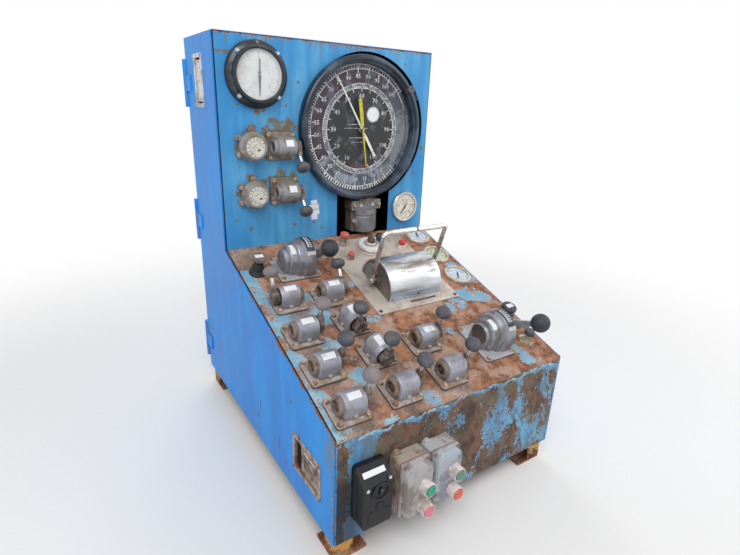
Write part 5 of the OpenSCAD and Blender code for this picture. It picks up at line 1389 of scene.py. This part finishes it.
# Push-pull knobs: one on a tall rubber boot, one low black mushroom and one on a brass
# flange. Two have a bare white plate let into the top.
BRASS = mottled("Tarnished brass", (184, 172, 144), (136, 118, 94), 0.5, 0.35, 60.0, 0.4)
KNOB_BROWN = mottled("Dusty brown cap", (120, 106, 98), (88, 78, 72), 0.55, 0.0, 40.0, 0.4)
KNOB_BLACK = mottled("Scuffed black cap", (44, 44, 48), (74, 72, 72), 0.45, 0.0, 30.0, 0.3)
boot = [(5.6, 0), (25, 0), (25, 4), (22, 7), (22, 10), (19, 13), (18, 22), (14, 32), (12, 38), (5.6, 38),
        (5.6, 0)]
low_boot = [(5.6, 0), (24, 0), (24, 4), (21, 7), (14, 11), (13, 12), (5.6, 12), (5.6, 0)]
ring_flange = [(5.6, 0), (23, 0), (23, 2), (20, 4), (17, 3), (14, 3), (12, 6), (5.6, 6), (5.6, 0)]
cap_tall = [(0, 0), (17, 0), (21, 3), (21, 10), (18, 13.5), (0, 14)]
cap_wide = [(0, 0), (20, 0), (24, 4), (24, 10), (21, 14), (16, 15), (0, 15)]
cap_cone = [(0, 0), (12, 0), (16, 4), (16, 10), (13, 14), (0, 14)]
# Each knob: x, s, height of its base, gap to the cap, the two outlines, the two finishes, white plate.
KNOBS = [(55, 126, 38, 8, boot, cap_tall, BLACK_RUBBER, KNOB_BROWN, (24, 14, 14)),
         (718, 518, 12, 8, low_boot, cap_wide, BLACK_RUBBER, KNOB_BLACK, (26, 15, 15)),
         (692, 630, 6, 18, ring_flange, cap_cone, BRASS, KNOB_DARK, None)]
bases = []
for number, (x, s, base_high, gap, base, cap, base_finish, cap_finish, plate) in enumerate(KNOBS, 1):
    place = on_desk(x, s)
    bases.append((lathe(base, 40), place, base_finish))
    under = base_high + gap
    parts = [(pin(5, -26, under + 1, 20), place, BOLT_BRIGHT),
             (lathe(cap, 40), shifted(place, z=under), cap_finish)]
    if plate:
        width, length, up = plate
        parts.append((slab(width, length, 1.0, 2, 0.2), shifted(place, z=under + up - 0.4), WHITE_TAG))
    name = f"pull_knob_{number}"
    dress(name, parts, name)
dress("knob_bases", bases)

# Sprung buttons on the aluminium plate: faded red caps, one on a tall clear-grey post,
# one low and one on a beige collar.
CAP_PINK = mottled("Faded red cap", (204, 92, 92), (184, 118, 108), 0.45, 0.0, 60.0, 0.35, bump=0.05)
CAP_RED = mottled("Red cap", (208, 46, 58), (176, 60, 60), 0.4, 0.0, 60.0, 0.25, bump=0.05)
POST_GREY = mottled("Grey post", (156, 152, 142), (116, 108, 98), 0.4, 0.2, 60.0, 0.4)
# Each button: x, s, radius and height of its base, radius of its cap, the two finishes.
BUTTONS = [(378, 57, 12, 34, 15, POST_GREY, CAP_PINK), (369, 130, 13, 10, 10, ZINC_BROWN, CAP_PINK),
           (583, 113, 19, 12, 12, PLATE_ALU, CAP_RED)]
TRAVEL = 3.5
collars = []
for number, (x, s, base_r, base_high, cap_r, base_finish, cap_finish) in enumerate(BUTTONS, 1):
    place = on_desk(x, s, PLATE_UP)
    collar = [(4.4, 0), (base_r, 0), (base_r, base_high / 3), (base_r - 1.5, base_high / 3 + 1.5),
              (base_r - 1.5, base_high - 1.5), (base_r - 3, base_high), (4.4, base_high), (4.4, 0)]
    collars.append((lathe(collar, 36), place, base_finish))
    cap = [(0, 0), (cap_r - 1, 0), (cap_r, 1), (cap_r, 6), (cap_r - 0.8, 8), (cap_r - 3, 9), (0, 9)]
    name = f"desk_button_{number}"
    dress(name, [
        (lathe(cap, 36), shifted(place, z=base_high + TRAVEL), cap_finish),
        (pin(4, -4, TRAVEL + 1, 18), shifted(place, z=base_high),
         BOLT_BRIGHT),
    ], name)
dress("button_bases", collars)

# Small gauges: one chromed gauge at the panel's right and three let flush into the
# desk's right edge, each with a pale dial behind a coated face.
RING_CHROME = mottled("Chromed gauge ring", (204, 202, 196), (150, 142, 130), 0.22, 0.9, 40.0, 0.3, bump=0.04)
RING_CREAM = mottled("Cream gauge ring", (214, 204, 188), (176, 162, 140), 0.42, 0.25, 40.0, 0.4)
FACE_BLUE = mottled("Bluish dial", (202, 214, 226), (178, 190, 204), 0.4, 0.0, 30.0, 0.4, bump=0.0, coat=0.5)
FACE_GREEN = mottled("Greenish dial", (192, 202, 172), (158, 172, 142), 0.4, 0.0, 30.0, 0.4, bump=0.0,
                     coat=0.5)
FACE_WARM = mottled("Warm white dial", (222, 218, 208), (196, 190, 176), 0.4, 0.0, 30.0, 0.4, bump=0.0,
                    coat=0.5)


def small_gauge(place, radius, rise, body_r, body_deep, ring, dial_finish, needle):
    """A ring with a sunk dial, its marks, numbers and needle, and a body behind it, as parts."""
    r = radius - 8
    low = rise - 4
    rim = [(r, low - 2), (r, rise - 1), (radius - 6, rise), (radius - 2, rise), (radius, rise - 2.5),
           (radius, 1), (radius - 1, 0), (body_r - 2, 0), (body_r - 2, low - 2), (r, low - 2)]
    dial_at = shifted(place, z=low)
    return [
        (lathe(rim, 48), place, ring),
        (pin(body_r, 0.5, -body_deep, 40), place, CAP_DARK),
        (pin(r + 0.5, -1, 0, 40), dial_at, dial_finish),
        (band(0, 360, r - 2.4, r - 1.2, 0.2, 48), dial_at, MARK_BLACK),
        (bars(np.arange(-135, 136, 13.5), r * 0.80, r * 0.9, 0.8, 0.2), dial_at, MARK_BLACK),
        (bars(np.arange(-135, 136, 54), r * 0.72, r * 0.9, 1.4, 0.2), dial_at, MARK_BLACK),
        (hand(r * 0.72, r * 0.3, 0.8, 2.4, 0.8), shifted(dial_at, z=1, turn="Z", angle=needle), MARK_BLACK),
        (lathe([(0, 0), (3, 0), (2.4, 2.4), (0, 2.6)], 16), dial_at, MARK_BLACK),
    ] + numerals((0, 30, 60, 90, 120, 150), np.arange(-135, 136, 54), r * 0.58, r * 0.17, dial_at, MARK_BLACK)


gauges = small_gauge(on_panel(664, 84), 54, 16, 46, 0.5, RING_CHROME, FACE_WARM, 234)
for s, dial_finish, needle in ((65, FACE_BLUE, 70), (185, FACE_GREEN, 200), (305, FACE_BLUE, 240)):
    gauges += small_gauge(on_desk(690, s), 46, 9, 41, 34, RING_CREAM, dial_finish, needle)
gauges.append((slab(26, 14, 1.2, 2, 0.3), on_desk(626, 205), WHITE_TAG))
dress("small_gauges", gauges)

# Push-button stations: a moulded black box with a rotary selector, and two cast boxes
# with notched covers, a red gasket line and guard tubes round their start and stop caps.
STATION_BLACK = mottled("Scuffed black moulding", (4, 6, 12), (22, 26, 35), 0.5, 0.0, 30.0, 0.28, 260.0, 0.1)
STATION_GREY = mottled("Grey station cover", (170, 178, 188), (134, 136, 144), 0.45, 0.15, 16.0, 0.36, 260.0,
                       0.12)
STATION_WORN = mottled("Sun-browned station cover", (172, 170, 172), (138, 128, 122), 0.5, 0.1, 16.0, 0.36,
                       260.0, 0.12)
STATION_BOX = mottled("Browned station casting", (166, 154, 142), (128, 112, 96), 0.62, 0.1, 22.0, 0.42,
                      260.0, 0.15)
GASKET_RED = mottled("Red gasket", (164, 92, 88), (122, 92, 88), 0.6, 0.0, 40.0, 0.4)
GUARD_CREAM = mottled("Pale guard tube", (214, 204, 202), (176, 160, 154), 0.42, 0.1, 40.0, 0.36)
CAP_GREEN = mottled("Green cap", (46, 152, 116), (66, 134, 108), 0.45, 0.0, 50.0, 0.3, bump=0.05)
CAP_TEAL = mottled("Faded teal cap", (88, 140, 122), (104, 132, 118), 0.5, 0.0, 50.0, 0.4, bump=0.05)
CAP_ROSE = mottled("Faded rose cap", (218, 116, 138), (198, 134, 142), 0.45, 0.0, 50.0, 0.3, bump=0.05)
CAP_ORANGE = mottled("Faded orange-red cap", (216, 94, 72), (198, 118, 94), 0.45, 0.0, 50.0, 0.3, bump=0.05)


def on_front(x, z, out=0):
    """Place on the front wall, from the cabinet's left edge and up from the lip: x right, y up, z
    outwards."""
    return place_at((x + LEFT_X, FRONT_Y - out, LIP_Z + z), (1, 0, 0), (0, -1, 0))


def rounded_box(width, height, stations, radius, steps=6):
    """A box whose outline shrinks as it rises, through (depth, inset, drop of its upper edge) stations."""
    rings = []
    for depth, inset, drop in stations:
        outline = round_corners(width - 2 * inset, height - 2 * inset - drop, max(radius - inset, 0.5), steps)
        rings.append(ring_of(outline - (0, drop / 2), depth))
    return loft(rings)


BLACK_W, BLACK_H, BLACK_D = 82, 150, 50
black_place = on_front(85, -150)
selector_place = shifted(black_place, 6, 20, BLACK_D)
slope_place = shifted(black_place, 0, BLACK_H / 2 - 15, BLACK_D - 17, "X", -math.degrees(math.atan2(34, 30)))
selector_ring = [(7.2, -6), (17, -6), (18, -5), (18, 2), (20, 4), (23, 4), (24, 3), (24, -1), (7.2, -20),
                 (7.2, -6)]
station = [
    (rounded_box(BLACK_W, BLACK_H, [(0, 1.5, 0), (1.5, 0, 0), (14.8, 0, 0), (15.6, 1.4, 0), (16.6, 1.6, 2.2),
                                   (49, 1.6, 30.2), (BLACK_D, 3, 30)], 9), black_place, STATION_BLACK),
    (lathe(selector_ring, 44), selector_place, STATION_BLACK),
    (slab(58, 13, 1.2, 1.5, 0.3), shifted(slope_place, -2, 2, 0.2), WHITE_TAG),
    (lathe([(0, -1), (11, -1), (11, 1), (10, 2), (7.5, 2), (6.5, 1), (0, 1)], 28),
     shifted(selector_place, y=-42), STATION_BLACK),
    (slab(58, 30, 1.0, 4, 0.4), shifted(selector_place, -2, -66), STATION_BLACK),
]
for x, y in ((-34, 15), (24, 28)):
    screw = [(0, -1), (4.5, -1), (4.5, 1.6), (3.4, 2.6), (0, 3)]
    station.append((lathe(screw, 20), shifted(selector_place, x, y), BOLT_BRIGHT))
dress("black_station", station)
dress("station_selector", [
    (lathe([(0, -19), (7, -19), (7, -5.5), (12, -5.5), (12, -2.5), (10, -1.5), (0, -1.5)], 28),
     selector_place, STATION_BLACK),
    (slab(8, 22, 8, 3, 1.2), shifted(selector_place, z=-3), STATION_BLACK),
    (slab(1.6, 7, 0.6, 0.7, 0.1), shifted(selector_place, y=5, z=4.8), GLARE_GREY),
], "station_selector")

# Each station: x, z, width, height, depth, heights of its two buttons, the finishes, side.
STATIONS = [(191, -167, 82, 150, 66, (15, -45), STATION_WORN, (CAP_GREEN, CAP_ROSE), "left"),
            (281, -167, 82, 144, 66, (18, -38), STATION_GREY, (CAP_TEAL, CAP_ORANGE), "right")]
BUTTON_X = 12
GUARD_R, GUARD_LONG, BUTTON_R = 18, 24, 13


def notched(width, height, cut, corner=3.0):
    """Outline of a rectangle whose corners are cut off on a slant, with each of the eight angles rounded a
    little: both sides of an angle are cut back by corner."""
    w, h = width / 2, height / 2
    angles = np.array([(w, h - cut), (w - cut, h), (cut - w, h), (-w, h - cut), (-w, cut - h), (cut - w, -h),
                       (w - cut, -h), (w, cut - h)])
    before, after = np.roll(angles, 1, 0) - angles, np.roll(angles, -1, 0) - angles
    before /= np.linalg.norm(before, axis=1)[:, None]
    after /= np.linalg.norm(after, axis=1)[:, None]
    middle = angles + (before + after) * corner * 0.3
    return np.stack([angles + before * corner, middle, angles + after * corner], 1).reshape(-1, 2)


PALE_BOX = mottled("Pale station casting", (176, 178, 180), (142, 134, 128), 0.55, 0.1, 22.0, 0.34, 200.0,
                   0.14)
BOX_FINISH = {"left": STATION_BOX, "right": PALE_BOX}
boxes = []
for x, z, w, h, d, rises, cover_finish, caps, side in STATIONS:
    place = on_front(x, z)
    cover = [ring_of(notched(w - inset, h - inset, 15), depth)
             for depth, inset in ((d - 19, 3), (d - 4.5, 3), (d - 3, 4.5), (d - 3, 9), (d - 1.2, 9),
                                  (d, 11.5))]
    gland = [(0, 0), (10, 0), (10, 10), (8, 13), (8, 15), (0, 15)]
    boxes += [
        (rounded_box(w, h, [(0, 0, 0), (d - 28, 0, 0)], 5), place, BOX_FINISH[side]),
        (rounded_box(w + 0.8, h + 0.8, [(d - 28.5, 0, 0), (d - 25.5, 0, 0)], 5), place, GASKET_RED),
        (rounded_box(w, h, [(d - 26, 0, 0), (d - 19, 0, 0), (d - 18, 1, 0)], 5), place, cover_finish),
        (loft(cover), place, cover_finish),
        (lathe([(0, 0), (11, 0), (11, 10), (9, 12), (0, 12)], 28), shifted(place, 14 - w / 2, h / 2 - 2),
         BOX_FINISH[side]),
        (lathe(gland, 24), shifted(place, -10, 2 - h / 2, d / 2 - 10, "X", 90), ZINC_BROWN),
    ]
    screw = lathe([(0, 0), (4.2, 0), (4.2, 2), (3.2, 3), (0, 3.2)], 16)
    boxes += [(screw, corner, BOLT_RUST) for corner in corners(place, w / 2 - 6, h / 2 - 6, d - 18)]
    for rise, cap_finish, which in zip(rises, caps, ("start", "stop")):
        guard = [(14, 16), (14, GUARD_LONG - 1), (15, GUARD_LONG + 0.6), (GUARD_R - 1, GUARD_LONG + 0.8),
                 (GUARD_R, GUARD_LONG - 2), (GUARD_R, 8), (GUARD_R - 0.8, 7), (GUARD_R - 0.8, 5),
                 (GUARD_R, 4), (GUARD_R, -1), (4.3, -1), (4.3, 16), (14, 16)]
        centre = shifted(place, BUTTON_X, rise, d)
        boxes.append((lathe(guard, 40), centre, GUARD_CREAM))
        cap = [(0, 19.5), (12.4, 19.5), (13, 20.2), (13, 25.5), (12.2, 27), (10.5, 27.5), (9.5, 26.8),
               (0, 26.6)]
        name = f"{side}_{which}_button"
        dress(name, [
            (lathe(cap, 36), centre, cap_finish),
            (pin(4, 5.5, 20, 16), centre, BOLT_BRIGHT),
        ], name)
dress("grey_stations", boxes)

# Studio: a pale floor and soft light, with the camera where the console is seen from
# its front left and a little above, tilted slightly. Far off the floor is plain white.
IMAGE_WIDE = 740
CAMERA_AT = (-0.7899, -1.2107, 1.0278)
YAW, PITCH, ROLL = 33.829, 19.777, 2.108
FOCAL_PIXELS = 485.757
WHITE = (1, 1, 1, 1)


def seen_or_mirrored(tree):
    """1 for rays from the camera, from mirrors and through glass, and 0 for the light that they gather."""
    rays = node(tree, "ShaderNodeLightPath").outputs
    seen = highest(tree, rays["Is Camera Ray"], rays["Is Transmission Ray"])
    return highest(tree, seen, rays["Is Glossy Ray"])


def floor_material():
    """Matt pale grey that takes the object's shadow, and turns to plain white between 1.2 m and 2.6 m
    away."""
    made = bpy.data.materials.new("Pale studio floor")
    made.use_nodes = True
    tree = made.node_tree
    shader = tree.nodes["Principled BSDF"]
    shader.inputs["Base Color"].default_value = (0.82, 0.82, 0.82, 1)
    shader.inputs["Roughness"].default_value = 0.9
    where = node(tree, "ShaderNodeTexCoord").outputs["Object"]
    away = node(tree, "ShaderNodeVectorMath", {0: where}, operation="LENGTH").outputs["Value"]
    plain = times(tree, ramp(tree, away, 1.2, 2.6), seen_or_mirrored(tree))
    glow = node(tree, "ShaderNodeEmission", {"Color": WHITE, "Strength": 1.0})
    blend = node(tree, "ShaderNodeMixShader", {0: plain})
    tree.links.new(shader.outputs[0], blend.inputs[1])
    tree.links.new(glow.outputs[0], blend.inputs[2])
    tree.links.new(blend.outputs[0], tree.nodes["Material Output"].inputs["Surface"])
    return made


floor_mesh = bpy.data.meshes.new("studio_floor")
floor_mesh.from_pydata([(-30, -30, 0), (30, -30, 0), (30, 30, 0), (-30, 30, 0)], [], [(0, 1, 2, 3)])
floor = bpy.data.objects.new("studio_floor", floor_mesh)
floor_mesh.materials.append(floor_material())
bpy.context.scene.collection.objects.link(floor)

world = bpy.data.worlds.new("studio")
world.use_nodes = True
bpy.context.scene.world = world
sky = world.node_tree.nodes["Background"]
sky.inputs["Color"].default_value = WHITE
seen = seen_or_mirrored(world.node_tree)
world.node_tree.links.new(ramp(world.node_tree, seen, 0.0, 1.0, 0.5, 1.0), sky.inputs["Strength"])


def softbox(name, at, target, size, power):
    """A square area lamp at a place, turned to face a target."""
    lamp = bpy.data.lights.new(name, "AREA")
    lamp.size, lamp.energy = size, power
    holder = bpy.data.objects.new(name, lamp)
    bpy.context.scene.collection.objects.link(holder)
    away = Vector(at) - Vector(target)
    holder.matrix_world = Matrix.Translation(at) @ away.to_track_quat("Z", "Y").to_matrix().to_4x4()


softbox("key", (-1.6, -2.2, 3.4), (0, 0, 0.6), 2.2, 90)
softbox("fill", (2.6, -1.4, 2.2), (0, 0, 0.6), 2.4, 30)
softbox("back", (0.6, 3.0, 2.6), (0, 0, 0.7), 2.4, 40)

camera_data = bpy.data.cameras.new("camera")
camera_data.sensor_width = 36
camera_data.lens = FOCAL_PIXELS / IMAGE_WIDE * 36
camera = bpy.data.objects.new("camera", camera_data)
bpy.context.scene.collection.objects.link(camera)
yaw, pitch, roll = math.radians(YAW), math.radians(PITCH), math.radians(ROLL)
ahead = np.array([math.sin(yaw) * math.cos(pitch), math.cos(yaw) * math.cos(pitch), -math.sin(pitch)])
level = np.array([math.cos(yaw), -math.sin(yaw), 0])
above = np.cross(level, ahead)
right = math.cos(roll) * level + math.sin(roll) * above
up = -math.sin(roll) * level + math.cos(roll) * above
rows = np.column_stack([right, up, -ahead, CAMERA_AT])
camera.matrix_world = Matrix([*rows.tolist(), [0, 0, 0, 1]])
bpy.context.scene.camera = camera
bpy.context.scene.view_settings.view_transform = "Standard"
